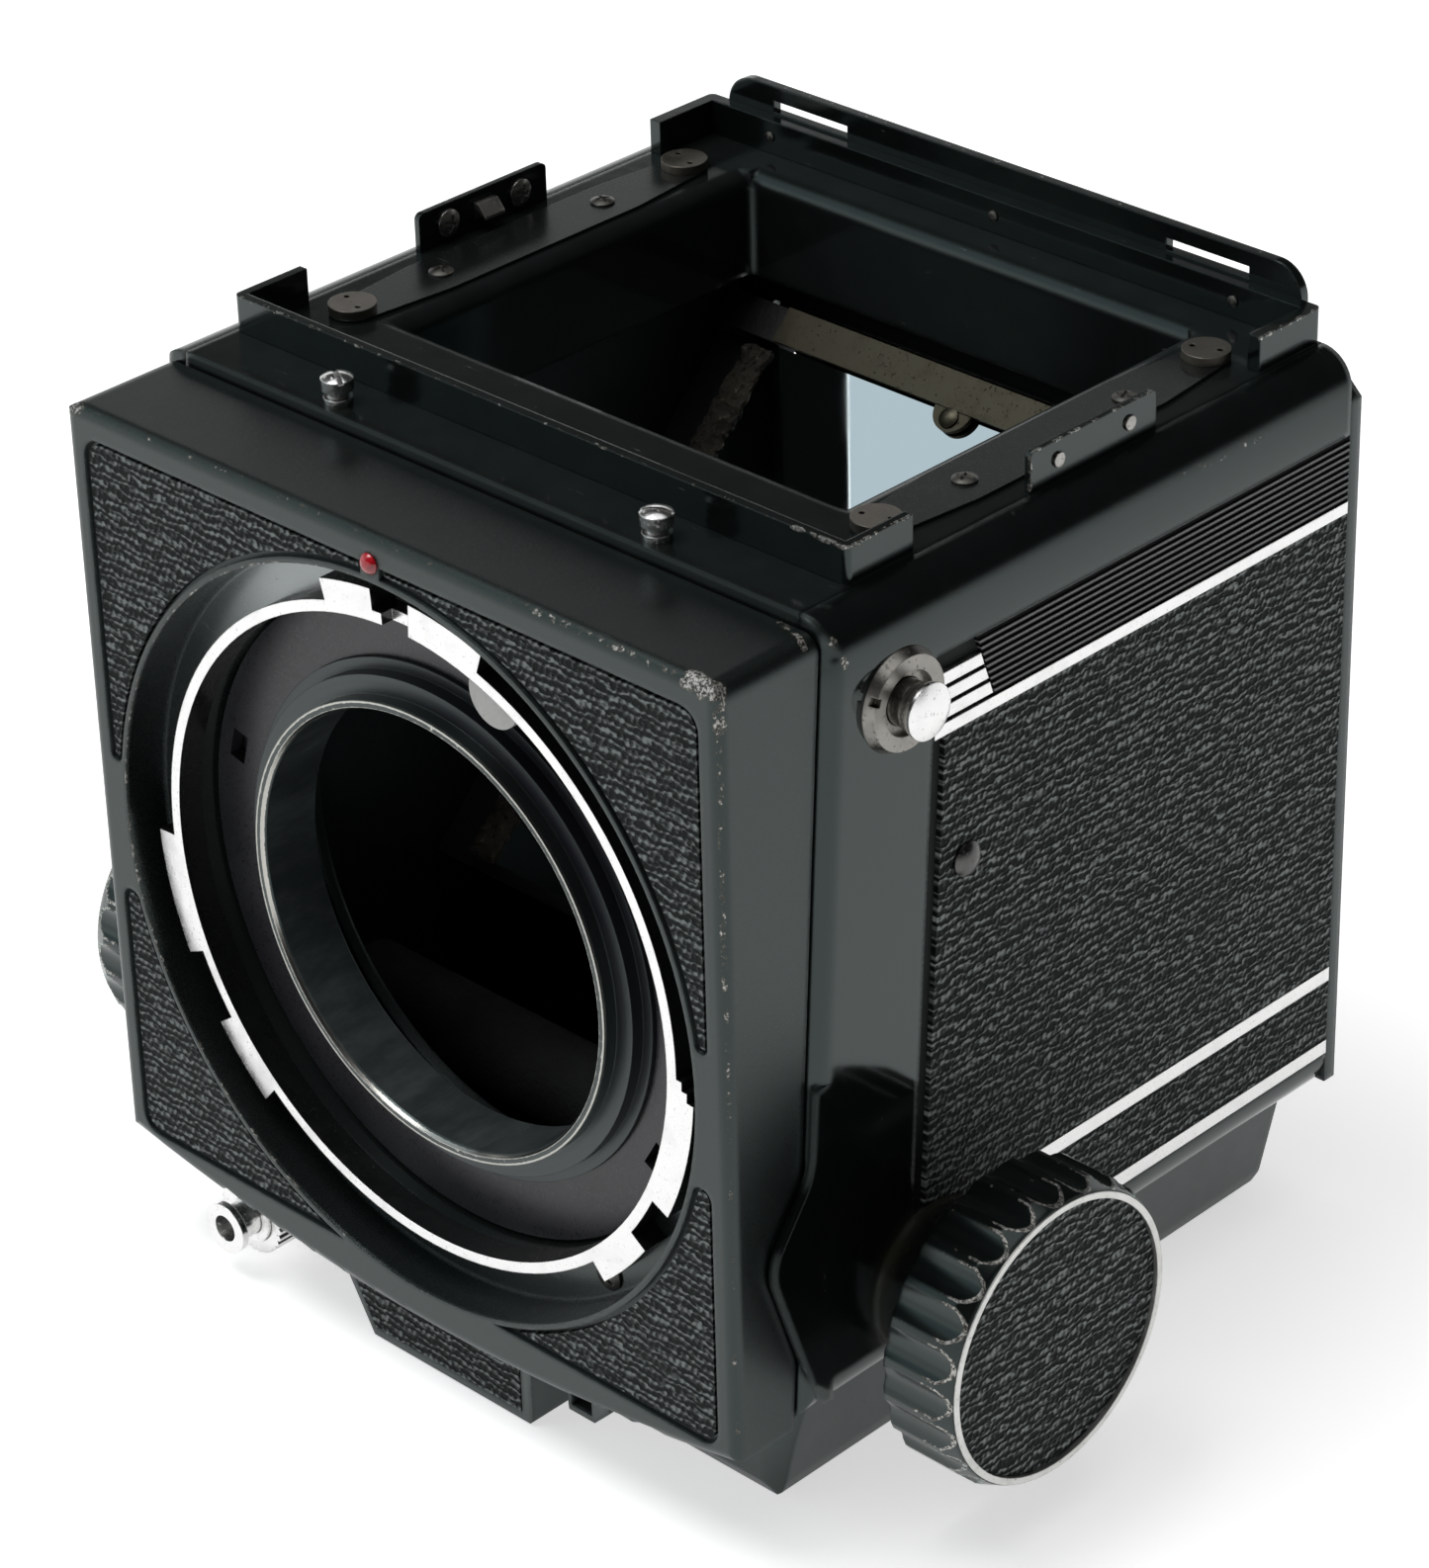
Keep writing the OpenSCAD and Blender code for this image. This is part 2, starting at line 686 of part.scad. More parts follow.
module stripe_outline() {
    // Three short stripes beside the lug, then the long one below them
    for (i = [1 : 3]) intersection() {
        translate([0, stripe_z + i * stripe_pitch]) square([2 * body_depth, stripe_w]);
        polygon([[0, stripe_z], [name_front(stripe_z) - 0.3, stripe_z],
            [name_front(name_top) - 0.3, name_top], [0, name_top]]);
    }
    translate([0, stripe_z]) square([2 * body_depth, stripe_w]);
    translate([0, -low_stripe_z - low_stripe_w]) square([2 * body_depth, low_stripe_w]);
    translate([0, -bottom_stripe_z - low_stripe_w]) square([2 * body_depth, low_stripe_w]);
}

module side_stripes() lens_frame() along_x(half_w - skin_d, half_w + 0.15) difference() {
    intersection() {
        stripe_outline();
        panel_outline(0);
    }
    trim_room();
    translate([panel_rear, -body_drop]) square([2 * body_depth, 2 * body_drop]);
}

module side_stripes_right() color(chrome) side_stripes();

module side_stripes_left() color(chrome) left_side() side_stripes();

module name_outline() polygon([
    [name_front(stripe_z + stripe_w), stripe_z + stripe_w + seat_gap],
    [name_front(name_top), name_top],
    [panel_rear, name_top],
    [panel_rear, stripe_z + stripe_w + seat_gap]]);

module name_strip() lens_frame() union() {
    ribs = 9;
    rib_pitch = (name_top - stripe_z - stripe_w - 0.6) / ribs;
    along_x(half_w - skin_d, half_w - 0.15) name_outline();
    along_x(half_w - 0.2, half_w + 0.1) intersection() {
        name_outline();
        for (i = [0 : ribs - 1])
            translate([0, stripe_z + stripe_w + 0.4 + i * rib_pitch])
                square([2 * body_depth, 0.6 * rib_pitch]);
    }
}

module name_strip_right() color(paint) name_strip();

module name_strip_left() color(paint) left_side() name_strip();

module strap_washers() color(steel) both_sides() lens_frame()
    translate([half_w, lug_back, lug_rise]) difference() {
        rotate([0, 90, 0]) cylinder(h = washer_t, r1 = washer_r, r2 = washer_r - 0.6);
        translate([-over, 0, 0]) rotate([0, 90, 0])
            cylinder(h = washer_t + 2 * over, r = lug_neck_r + seat_gap);
        translate([washer_t - 0.8, 0, 0]) rotate([0, 90, 0]) cylinder(h = over, r = washer_r - 2.3);
        rotate([68, 0, 0]) translate([0.5, -0.5, washer_r - 1.3]) cube([washer_t, 1, 3]);
    }

module strap_lug() lens_frame() translate([half_w, lug_back, lug_rise]) rotate([0, 90, 0]) {
    cylinder(h = lug_span, r = lug_neck_r);
    translate([0, 0, 2.2]) cylinder(h = lug_span - 2.2, r1 = lug_neck_r + 0.1, r2 = lug_head_r);
    translate([0, 0, lug_span]) intersection() {
        cylinder(h = 1, r = lug_head_r);
        translate([0, 0, 1 - 2.6 * lug_head_r]) sphere(2.6 * lug_head_r);
    }
}

module strap_lug_right() color(chrome) strap_lug();

module strap_lug_left() color(chrome) left_side() strap_lug();

// Domed plug in the leather of the right side
module side_plug() color(steel) lens_frame() translate([half_w + skin_proud, plug_back, plug_rise])
    rotate([0, 90, 0]) intersection() {
        cylinder(h = plug_h, r = plug_r);
        translate([0, 0, plug_h - 1.5 * plug_r]) sphere(1.5 * plug_r);
    }

// Rear plate and finder seat

module rear_plate() color(paint) lens_frame() along_y(rear_face, body_depth) difference() {
    top = deck_rise - 2.4;
    polygon([[-half_w, 1.5 - body_drop], [half_w, 1.5 - body_drop], [half_w, top - rear_plate_cut],
        [half_w - rear_plate_cut, top], [rear_plate_cut - half_w, top], [-half_w, top - rear_plate_cut]]);
    soft_box(-gate_w / 2 - 2, -gate_w / 2 - 2, gate_w / 2 + 2, gate_w / 2 + 2, 3, 3, 3, 3);
}

module rear_bracket() color(paint) lens_frame() along_y(rear_face, rear_face + 1.2) difference() {
    soft_box(-bracket_w / 2, deck_rise - 2.3, bracket_w / 2, deck_rise + bracket_h, 0, 0, 4, 4);
    for (side = [-1, 1])
        translate([side * bracket_slot_pitch / 2, deck_rise + bracket_h - 2.65])
            square([bracket_slot_len, 1.5], center = true);
}

module finder_front_wall() color(paint) lens_frame() translate([0, 0, deck_rise]) difference() {
    linear_extrude(seat_wall_h)
        soft_box(-seat_w / 2, seat_front, seat_w / 2, seat_front + front_return, 0.8, 0.8, 0, 0);
    translate([-seat_w / 2 + front_wall_t, seat_front + front_wall_t, -over])
        cube([seat_w - 2 * front_wall_t, front_return, seat_wall_h + 2 * over]);
}

module finder_rear_wall() color(paint) lens_frame() translate([0, 0, deck_rise]) difference() {
    linear_extrude(rear_wall_h)
        soft_box(-seat_w / 2, rear_face - rear_return, seat_w / 2, rear_face, 0, 0, 0.8, 0.8);
    translate([-seat_w / 2 + rear_wall_t, rear_face - rear_return - over, -over])
        cube([seat_w - 2 * rear_wall_t, rear_return + over - rear_wall_t, rear_wall_h + 2 * over]);
}

// Spring strips along both sides of the finder opening
module spring_strips() color(paint) both_sides() lens_frame()
    translate([spring_x, spring_mid, deck_rise]) linear_extrude(strip_t) union() {
        end_w = 2 * disc_r;
        mid = spring_span / 2 - 12;
        polygon([[-end_w / 2, -spring_span / 2], [end_w / 2, -spring_span / 2], [spring_w / 2, -mid],
            [spring_w / 2, mid], [end_w / 2, spring_span / 2], [-end_w / 2, spring_span / 2],
            [-spring_w / 2, mid], [-spring_w / 2, -mid]]);
        for (end = [-1, 1])
            translate([0, end * spring_span / 2]) circle(disc_r);
    }

module spring_discs() color(steel) both_sides() lens_frame() for (end = [-1, 1])
    translate([spring_x, spring_mid + end * spring_span / 2, deck_rise + strip_t]) difference() {
        cylinder(h = 1.1, r = disc_r);
        for (side = [-1, 1])
            translate([side * 0.55 * disc_r, side * 0.2 * disc_r, 0.5]) cylinder(h = over, r = 0.35);
    }

// A round screw head with a cross recess, standing on z = 0
module screw_head(r, h, cross) difference() {
    intersection() {
        cylinder(h = h, r = r);
        translate([0, 0, h - 2 * r]) sphere(2 * r);
    }
    if (cross)
        for (turn = [20, 110])
            rotate([0, 0, turn]) translate([-0.62 * r, -0.14 * r, 0.55 * h]) cube([1.24 * r, 0.28 * r, h]);
}

// Screws of the spring strips and rivets of the rear wall
module seat_screws() color(steel) lens_frame() {
    both_sides() for (end = [-1, 1])
        translate([spring_x, spring_mid + end * 13.4, deck_rise + strip_t]) screw_head(1.5, 0.6, true);
    for (side = [-1, 0, 1])
        translate([side * rivet_pitch, rear_face - rear_wall_t, deck_rise + rear_wall_h / 2])
            rotate([90, 0, 0]) screw_head(0.7, 0.35, false);
}

// Clips on both sides of the finder seat
module clip() lens_frame() translate([clip_x, clip_mid, deck_rise]) difference() {
    along_x(0, clip_t) soft_box(-clip_len / 2, 0, clip_len / 2, clip_h, 0, 0, 0.8, 0.8);
    for (end = [-1, 1])
        translate([-over, end * clip_screw_span / 2, clip_screw_z])
            rotate([0, 90, 0]) cylinder(h = clip_t + 2 * over, r = clip_screw_neck_r + 0.05);
}

module clip_right() color(paint) clip();

module clip_left() color(paint) left_side() clip();

module clip_screws() color(chrome) both_sides() lens_frame() for (end = [-1, 1])
    translate([clip_x, clip_mid + end * clip_screw_span / 2, deck_rise + clip_screw_z])
        rotate([0, -90, 0]) {
            screw_head(clip_screw_r, clip_screw_h, true);
            translate([0, 0, -clip_t - clip_screw_end])
                cylinder(h = clip_t + clip_screw_end + clip_screw_h / 4, r = clip_screw_neck_r);
        }

module clip_tab() color(steel) left_side() lens_frame() translate([clip_x, clip_mid, deck_rise])
    along_y(-1.6, 1.6) polygon([[0, 1.2], [0, 3.6], [-0.8, 3.6], [-2, 2.2], [-2, 1.8], [-0.5, 2.8]]);

module finder_posts() color(chrome) both_sides() lens_frame()
    translate([post_x, post_back, deck_rise]) difference() {
        union() {
            cylinder(h = post_foot_h, r = post_foot_r);
            cylinder(h = post_neck_h, r = post_neck_r);
            translate([0, 0, post_head_z]) screw_head(post_head_r, post_head_h, false);
        }
        rotate([0, 0, 30]) translate([-2 * post_head_r, -post_slot_w / 2, post_slot_z])
            cube([4 * post_head_r, post_slot_w, post_head_h]);
    }

// Base

module base_section() polygon([[-low_half - 1, -body_drop], [low_half + 1, -body_drop],
    [base_half + 0.4, 2.4 - axis_h], [base_half, 1 - axis_h], [base_half - 0.9, 0.3 - axis_h],
    [base_half - 2.2, -axis_h], [2.2 - base_half, -axis_h], [0.9 - base_half, 0.3 - axis_h],
    [-base_half, 1 - axis_h], [-base_half - 0.4, 2.4 - axis_h]]);

module base_side() polygon([[base_front, -body_drop], [body_depth - base_rear + 1.6, -body_drop],
    [body_depth - base_rear, 2 - axis_h], [body_depth - base_rear - 2, -axis_h], [base_front + 2, -axis_h],
    [base_front + 0.6, 0.6 - axis_h], [base_front, 2 - axis_h]]);

module base_plan()
    soft_box(-low_half - 1, base_front, low_half + 1, body_depth, base_corner_r, base_corner_r, 0, 0);

module nose_outline() polygon([[-nose_left, -nose_top], [-nose_toe, -axis_h],
    [nose_right - 0.4, -axis_h], [nose_right, 0.4 - axis_h], [nose_right, -nose_top]]);

// Small stop beside the nose
module stop_outline() translate([stop_x, 0]) polygon([[0, -nose_top - 0.6], [0.6, 3.6 - axis_h],
    [4.8, 3.6 - axis_h], [7.2, 6 - axis_h], [7.2, -nose_top - 0.6]]);

module base_housing() color(paint) lens_frame() difference() {
    union() {
        intersection() {
            along_y(0, body_depth) base_section();
            along_x(-half_w, half_w) base_side();
            translate([0, 0, -axis_h]) linear_extrude(axis_h) base_plan();
        }
        along_y(nose_front, base_front + 4) nose_outline();
        along_y(nose_front + 1.8, base_front + over) stop_outline();
    }
    // Hollow under the chamber
    hollow_front = base_front + base_wall + 8;
    hollow_back = body_depth - base_rear - base_wall - 2;
    hollow_half = base_half - base_wall - 2;
    translate([-hollow_half, hollow_front, base_wall - axis_h])
        cube([2 * hollow_half, hollow_back - hollow_front, axis_h]);
    // Nose leather, stop slot, tripod bush and release sleeve
    along_y(0, nose_front + 0.5) nose_patch(seat_gap);
    translate([stop_x + 1, 0, 4.4 - axis_h]) cube([3.4, nose_front + 5, 3]);
    translate([0, tripod_back, -axis_h - over]) cylinder(h = axis_h, r = bush_r);
    translate([-release_x, 0, -release_drop]) along_y(0, base_front + 6.1) circle(sleeve_out_r);
    translate([-release_x, 0, -release_drop]) along_y(0, base_front + 14) circle(sleeve_in_r);
}

module nose_patch(grow) polygon([[1.7 - nose_left - grow, -nose_top - 0.6 + grow],
    [0.4 - nose_toe - grow, 1.2 - axis_h - grow], [nose_right - 1.8 + grow, 1.2 - axis_h - grow],
    [nose_right - 1.8 + grow, -nose_top - 0.6 + grow]]);

module base_leather() color(leather) lens_frame() along_y(nose_front - 0.1, nose_front + 0.5) nose_patch(0);

module tripod_bush() color(steel) difference() {
    union() {
        cylinder(h = base_wall, r = bush_r);
        cylinder(h = tripod_len + 2, r = bush_r - 1.5);
    }
    translate([0, 0, -over]) cylinder(h = tripod_len + over, r = tripod_r);
}

// Release

module on_release_axis() lens_frame() translate([-release_x, 0, -release_drop]) children();

module release_sleeve() color(chrome) on_release_axis() difference() {
    along_y(sleeve_front, base_front + 6) circle(sleeve_out_r);
    along_y(0, base_front + 7) circle(sleeve_in_r);
}

module release_button() color(chrome) on_release_axis() difference() {
    union() {
        along_y(release_front, release_front + button_t) circle(release_r);
        along_y(release_front, base_front + 8) circle(sleeve_in_r - run_gap);
    }
    // Tapered thread for a cable release
    turned() polygon([[0, release_front - over], [1.75, release_front - over], [1.75, release_front],
        [1.3, release_front + 5], [0, release_front + 6]]);
}

module release_collar() color(chrome) on_release_axis() along_y(collar_front, base_front - 0.2) difference() {
    knurls = 30;
    circle(collar_r);
    circle(collar_in_r);
    for (i = [0 : knurls - 1])
        rotate(i * 360 / knurls) translate([collar_r, 0]) rotate(45) square(0.5, center = true);
}

// Front standard

module board_outline() soft_box(-board_half, -board_drop - over, board_half, board_rise, 0, 0, 2.2, 2.2);

module board_side() difference() {
    polygon([[0, -board_drop - over], [0, board_rise], [back_depth(board_rise), board_rise],
        [back_depth(-board_drop - over), -board_drop - over]]);
    corner_cut(0, board_rise, 1, -1, board_edge_r);
}

module board_plan() soft_box(-board_half, 0, board_half, 2 * board_top_t, board_edge_r, board_edge_r, 0, 0);

// Disc whose rim is the bowed lower edge, with its front edge rounded
module bow_disc() translate([0, 0, bow_r - board_drop]) rotate([-90, 0, 0]) rotate_extrude($fn = 360)
    soft_box(0, 0, bow_r, 2 * board_top_t, 0, board_edge_r, 0, 0);

module board_block() intersection() {
    along_y(0, 2 * board_top_t) board_outline();
    along_x(-board_half, board_half) board_side();
    translate([0, 0, -board_drop - over]) linear_extrude(board_rise + board_drop + 2 * over) board_plan();
    bow_disc();
}

// Leather fields in the four corners of the face, parted at the sides and by the index dot
module patch_outline(grow) {
    corner_r = patch_corner_r + grow;
    difference() {
        soft_box(-patch_side - grow, -patch_low - grow, patch_side + grow, patch_top + grow,
            corner_r, corner_r, corner_r, corner_r);
        circle(rim_r + patch_border - grow, $fn = 144);
        translate([-board_half, -patch_gap_low]) square([board_w, patch_gap_top + patch_gap_low]);
        translate([dot_x - dot_r - 0.3 + grow, 0]) square([2 * (dot_r + 0.3 - grow), board_rise]);
    }
    for (side = [-1, 1], tip = [patch_gap_top + 0.3, -patch_gap_low - 0.3])
        patch_tip(side, tip, grow);
}

// Round end of a leather field beside the recess
module patch_tip(side, z, grow) {
    near = sqrt(pow(rim_r + patch_border - grow, 2) - z * z);
    far = patch_side + grow;
    translate([side * (near + far) / 2, z]) circle((far - near) / 2 - 0.03);
}

module lens_board() color(paint) lens_frame() difference() {
    union() {
        board_block();
        along_y(recess_d, boss_d) circle(bore_r + boss_wall, $fn = 144);
    }
    along_y(-over, recess_d) circle(rim_r, $fn = 144);
    along_y(-over, 2 * board_top_t) circle(bore_r, $fn = 144);
    along_y(boss_d, 2 * board_top_t) square(2 * pocket_half, center = true);
    along_y(-over, patch_sink + leather_t) patch_outline(seat_gap);
    translate([dot_x, 0, dot_z]) along_y(-over, 1.2) circle(dot_r);
}

module board_leathers() color(leather) lens_frame() along_y(patch_sink, patch_sink + leather_t)
    patch_outline(-patch_inset);

module index_dot() color(red) lens_frame() translate([dot_x, 0, dot_z]) rotate([-90, 0, 0]) {
    cylinder(h = 1.2, r = dot_r);
    intersection() {
        translate([0, 0, -0.9]) cylinder(h = 1, r = dot_r);
        translate([0, 0, 0.5]) sphere(1.4);
    }
}

module bayonet_ring() color(chrome) lens_frame() difference() {
    along_y(ring_front, recess_d) union() {
        difference() {
            circle(ring_out_r, $fn = 144);
            circle(ring_in_r, $fn = 144);
        }
        for (lug = ring_lugs)
            sector(ring_out_r - 0.4, lug_r, lug[0], lug[1]);
        for (step = ring_steps)
            sector(ring_out_r - 0.4, ring_out_r + step[2], step[0], step[1]);
    }
    for (notch = ring_notches)
        along_y(ring_front - over, ring_front + 1.6)
            sector(ring_in_r - over, lug_r + over, notch[0], notch[1]);
}

// Pale half-round tab inside the ring
module ring_tab() color(chrome) lens_frame() along_y(ring_front + 0.3, ring_front + 1.6) intersection() {
    rotate(68) translate([ring_in_r, 0]) circle(3.8);
    circle(ring_in_r, $fn = 144);
}

// Screws in the step round the ring
module ring_screws() color(steel) lens_frame() for (turn = [45, 306.4])
    rotate([0, -turn, 0]) translate([(ring_out_r + rim_r) / 2, recess_d, 0]) rotate([90, 0, 0])
        screw_head(1.9, 0.8, true);

module throat_tube() color(steel) lens_frame() turned() polygon([
    [throat_r, boss_d], [throat_r, throat_rim_d + 0.6], [throat_r + 0.4, throat_rim_d],
    [throat_rim_r, throat_rim_d], [throat_rim_r, throat_rim_d + 2], [throat_step_r, throat_rim_d + 2],
    [throat_step_r, cock_front - 0.6], [shoulder_r, cock_front - 0.6],
    [shoulder_r, cock_front + cock_t + 0.15], [bore_r - run_gap, cock_front + cock_t + 0.15],
    [bore_r - run_gap, boss_d]]);

module cocking_ring() color(paint) lens_frame() along_y(cock_front, cock_front + cock_t) difference() {
    circle(bore_r - 0.5, $fn = 144);
    circle(shoulder_r + run_gap, $fn = 144);
    for (turn = [165, 330])
        rotate(turn) translate([cock_slot_r, 0]) square([2.4, 4], center = true);
}

// Rack with teeth below, engaged with the pinion from above
module focus_rack() lens_frame() along_x(rack_x - rack_w / 2, rack_x + rack_w / 2) union() {
    rear = shaft_back + travel + 4 * tooth_pitch;
    teeth_front = shaft_back - 2.5 * tooth_pitch;
    addendum = 0.75 * tooth_module;
    under = rack_line + addendum + 0.4;
    top = rack_line + rack_h;
    polygon([[back_depth(under), under], [rear, under], [rear, top], [back_depth(top), top]]);
    for (i = [0 : floor((rear - teeth_front) / tooth_pitch) - 1])
        translate([shaft_back + (i - 2) * tooth_pitch, rack_line]) rack_tooth(addendum);
}

module rack_tooth(addendum) polygon([[-0.3 * tooth_pitch, addendum + 0.5], [-0.12 * tooth_pitch, -addendum],
    [0.12 * tooth_pitch, -addendum], [0.3 * tooth_pitch, addendum + 0.5]]);

module focus_rack_right() color(steel) focus_rack();

module focus_rack_left() color(steel) left_side() focus_rack();

// Bellows packed between the standard and the chamber wall
module bellows() color(cloth) lens_frame() along_y(boss_d + seat_gap, chamber_front - seat_gap) difference() {
    bellows_outline(bellows_out);
    bellows_outline(bellows_in);
}

module bellows_outline(half) soft_box(-half, -half, half, half,
    bellows_corner_r, bellows_corner_r, bellows_corner_r, bellows_corner_r);

// Focus drive

module on_shaft() lens_frame() translate([0, shaft_back, -shaft_drop]) children();

module focus_shaft() color(steel) on_shaft() along_x(3 - knob_face, knob_face - 3) circle(shaft_r);

module shaft_sleeve() color(paint) on_shaft() along_x(-chamber_half, chamber_half) difference() {
    circle(sleeve_r);
    circle(shaft_r + run_gap);
}

module focus_knob() on_shaft() difference() {
    rotate([0, 90, 0]) rotate_extrude($fn = 144) polygon([[0, knob_in], [knob_r - 0.4, knob_in],
        [knob_r, knob_in + 0.4], [knob_r, knob_face - knob_rim - 0.2], [knob_ring_r + 0.1, knob_face - 0.2],
        [0, knob_face - 0.2]]);
    for (i = [0 : flutes - 1])
        rotate([i * 360 / flutes, 0, 0]) translate([0, knob_r + flute_r - flute_depth, 0])
            along_x(knob_in - over, knob_face) circle(flute_r, $fn = 32);
    // Seat of the ring and leather, and the shaft bore
    along_x(knob_face - 1.2, knob_face + over) circle(knob_ring_r);
    along_x(0, knob_face - 3) circle(shaft_r);
}

module focus_knob_right() color(paint) focus_knob();

module focus_knob_left() color(paint) left_side() focus_knob();

module knob_rings() color(chrome) both_sides() on_shaft() along_x(knob_face - 1.2, knob_face) difference() {
    circle(knob_ring_r, $fn = 144);
    circle(knob_ring_r - knob_ring_w, $fn = 144);
}

module knob_leathers() color(leather) both_sides() on_shaft()
    along_x(knob_face - 1.2, knob_face - 0.6) circle(knob_ring_r - knob_ring_w - 0.05);

// Pinion outline with straight-sided teeth and a gap at the top
module pinion_outline() {
    root = pinion_pitch_r - 1.15 * tooth_module;
    tip = pinion_pitch_r + 0.7 * tooth_module;
    step = 360 / pinion_teeth;
    polygon([for (i = [0 : pinion_teeth - 1]) for (p = [[root, -0.29], [tip, -0.1], [tip, 0.1], [root, 0.29]])
        p[0] * [cos(90 + (i + 0.5 + p[1]) * step), sin(90 + (i + 0.5 + p[1]) * step)]]);
}

module focus_pinions() color(brass) both_sides() on_shaft()
    along_x(rack_x - pinion_w / 2, rack_x + pinion_w / 2) difference() {
        pinion_outline();
        circle(shaft_r);
    }

// Mirror, drawn in its raised level place and tilted about its hinge

module on_mirror() lens_frame() translate([0, hinge_d, hinge_z]) rotate([45, 0, 0]) children();

module mirror_frame() color(paint) on_mirror() difference() {
    union() {
        translate([-mirror_w / 2, -mirror_len, mirror_top - mirror_plate])
            cube([mirror_w, mirror_len - knuckle_r - 0.5, mirror_plate]);
        both_sides() along_x(glass_w / 2 + 0.3, mirror_w / 2) union() {
            circle(knuckle_r);
            translate([-bar_front, 0]) square([bar_front + bar_back, knuckle_r]);
            translate([-7, mirror_top - mirror_plate]) square([7, mirror_plate]);
        }
    }
    along_x(-half_w, half_w) circle(mirror_pin_r + run_gap);
}

module mirror_pin() color(steel) lens_frame() translate([0, hinge_d, hinge_z])
    along_x(-pocket_in, pocket_in) circle(mirror_pin_r);

module mirror_glass() color(glass) on_mirror()
    translate([-glass_w / 2, 1.5 - mirror_len, mirror_top]) cube([glass_w, mirror_len - 4, glass_t]);

module mirror_bar() color(brass) on_mirror() {
    ear_x = 1.2;
    translate([-glass_w / 2, -bar_front, knuckle_r]) cube([glass_w, bar_front + bar_back, bar_t]);
    translate([ear_x, -bar_front, knuckle_r]) cylinder(h = 0.7, r = 2.8);
    translate([ear_x, -bar_front - 1.1, knuckle_r + 0.6]) screw_head(1.3, 0.7, false);
}

module mirror_foam() color(foam) on_mirror() both_sides()
    translate([glass_w / 2 + 0.1, 1.5 - mirror_len, mirror_top])
        cube([foam_w, mirror_len - 5, glass_t + 0.3]);

// Flap that hangs behind the mirror and covers the film gate
module light_baffle() color(paint) lens_frame() translate([0, hinge_d, hinge_z]) difference() {
    half = glass_w / 2 - 2;
    union() {
        translate([-baffle_w / 2, baffle_back, -baffle_len]) cube([baffle_w, baffle_t, baffle_len - 4.5]);
        translate([-half, baffle_back, -baffle_len]) cube([2 * half, baffle_t, baffle_len]);
        along_x(-half, half) circle(baffle_back + 0.5);
    }
    along_x(-half_w, half_w) circle(mirror_pin_r + run_gap);
}

// Cocking lever on the left side

module on_lever() left_side() lens_frame() translate([0, lever_back, -lever_drop]) children();

module cocking_lever() color(paint) on_lever() union() {
    base = half_w + 0.5;
    along_x(pocket_in + 2, base + 1) circle(lever_shaft_r);
    along_x(base, base + lever_t) circle(lever_hub_r);
    along_x(base, base + lever_t) rotate(20) union() {
        polygon([[0, -0.8 * lever_hub_r], [lever_len, -3.4], [lever_len, 3.4], [0, 0.8 * lever_hub_r]]);
        translate([lever_len, 0]) circle(3.4);
    }
    along_x(base + lever_t - 0.1, base + lever_t + 4) rotate(20) translate([lever_len, 0]) circle(2.8);
}

module lever_cap() color(leather) on_lever() along_x(half_w + 0.5 + lever_t, half_w + 1.2 + lever_t)
    circle(lever_hub_r - 1.6);

body_casting();
top_deck();
gate_frame();
chamber_front_wall();
side_cover_left();
side_cover_right();
base_housing();
base_leather();
side_leather_left();
side_leather_right();
side_stripes_left();
side_stripes_right();
name_strip_left();
name_strip_right();
strap_washers();
strap_lug_left();
strap_lug_right();
side_plug();
rear_plate();
rear_bracket();
finder_front_wall();
finder_rear_wall();
spring_strips();
spring_discs();
seat_screws();
clip_left();
clip_right();
clip_screws();
clip_tab();
finder_posts();
tripod_bush();
shaft_sleeve();
mirror_pin();
release_sleeve();
lens_board();
board_leathers();
bayonet_ring();
ring_tab();
ring_screws();
index_dot();
throat_tube();
focus_rack_left();
focus_rack_right();
cocking_ring();
bellows();
focus_shaft();
focus_knob_left();
focus_knob_right();
knob_rings();
knob_leathers();
focus_pinions();
mirror_frame();
mirror_glass();
mirror_bar();
mirror_foam();
light_baffle();
cocking_lever();
lever_cap();
release_button();
release_collar();
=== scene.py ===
"""Looks of a modular medium-format reflex camera body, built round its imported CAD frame."""

import math

import bmesh
import bpy
from mathutils import Matrix, Vector, noise


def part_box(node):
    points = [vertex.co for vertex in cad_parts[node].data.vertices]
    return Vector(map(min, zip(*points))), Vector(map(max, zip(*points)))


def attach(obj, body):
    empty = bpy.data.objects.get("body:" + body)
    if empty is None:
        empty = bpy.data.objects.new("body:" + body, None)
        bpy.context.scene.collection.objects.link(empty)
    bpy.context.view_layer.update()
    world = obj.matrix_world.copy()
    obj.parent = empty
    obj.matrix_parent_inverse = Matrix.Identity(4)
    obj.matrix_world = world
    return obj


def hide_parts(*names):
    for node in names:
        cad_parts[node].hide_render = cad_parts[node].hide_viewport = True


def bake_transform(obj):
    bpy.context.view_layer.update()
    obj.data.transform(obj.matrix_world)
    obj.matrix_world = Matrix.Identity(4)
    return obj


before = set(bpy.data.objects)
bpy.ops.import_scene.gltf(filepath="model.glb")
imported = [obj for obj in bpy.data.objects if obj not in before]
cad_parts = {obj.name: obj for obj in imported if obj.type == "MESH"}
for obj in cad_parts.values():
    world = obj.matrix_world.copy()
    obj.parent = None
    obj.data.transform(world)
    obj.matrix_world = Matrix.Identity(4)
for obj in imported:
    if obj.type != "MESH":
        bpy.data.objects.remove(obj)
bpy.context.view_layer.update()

# Places: x across, d behind the standard's face, h above the lens axis, all in mm
AXIS_BACK = 55.0
AXIS_HEIGHT = 61.2


def at(x, d, h):
    """The frame's point, in metres, of a place in mm."""
    return Vector((x, d - AXIS_BACK, h + AXIS_HEIGHT)) / 1000


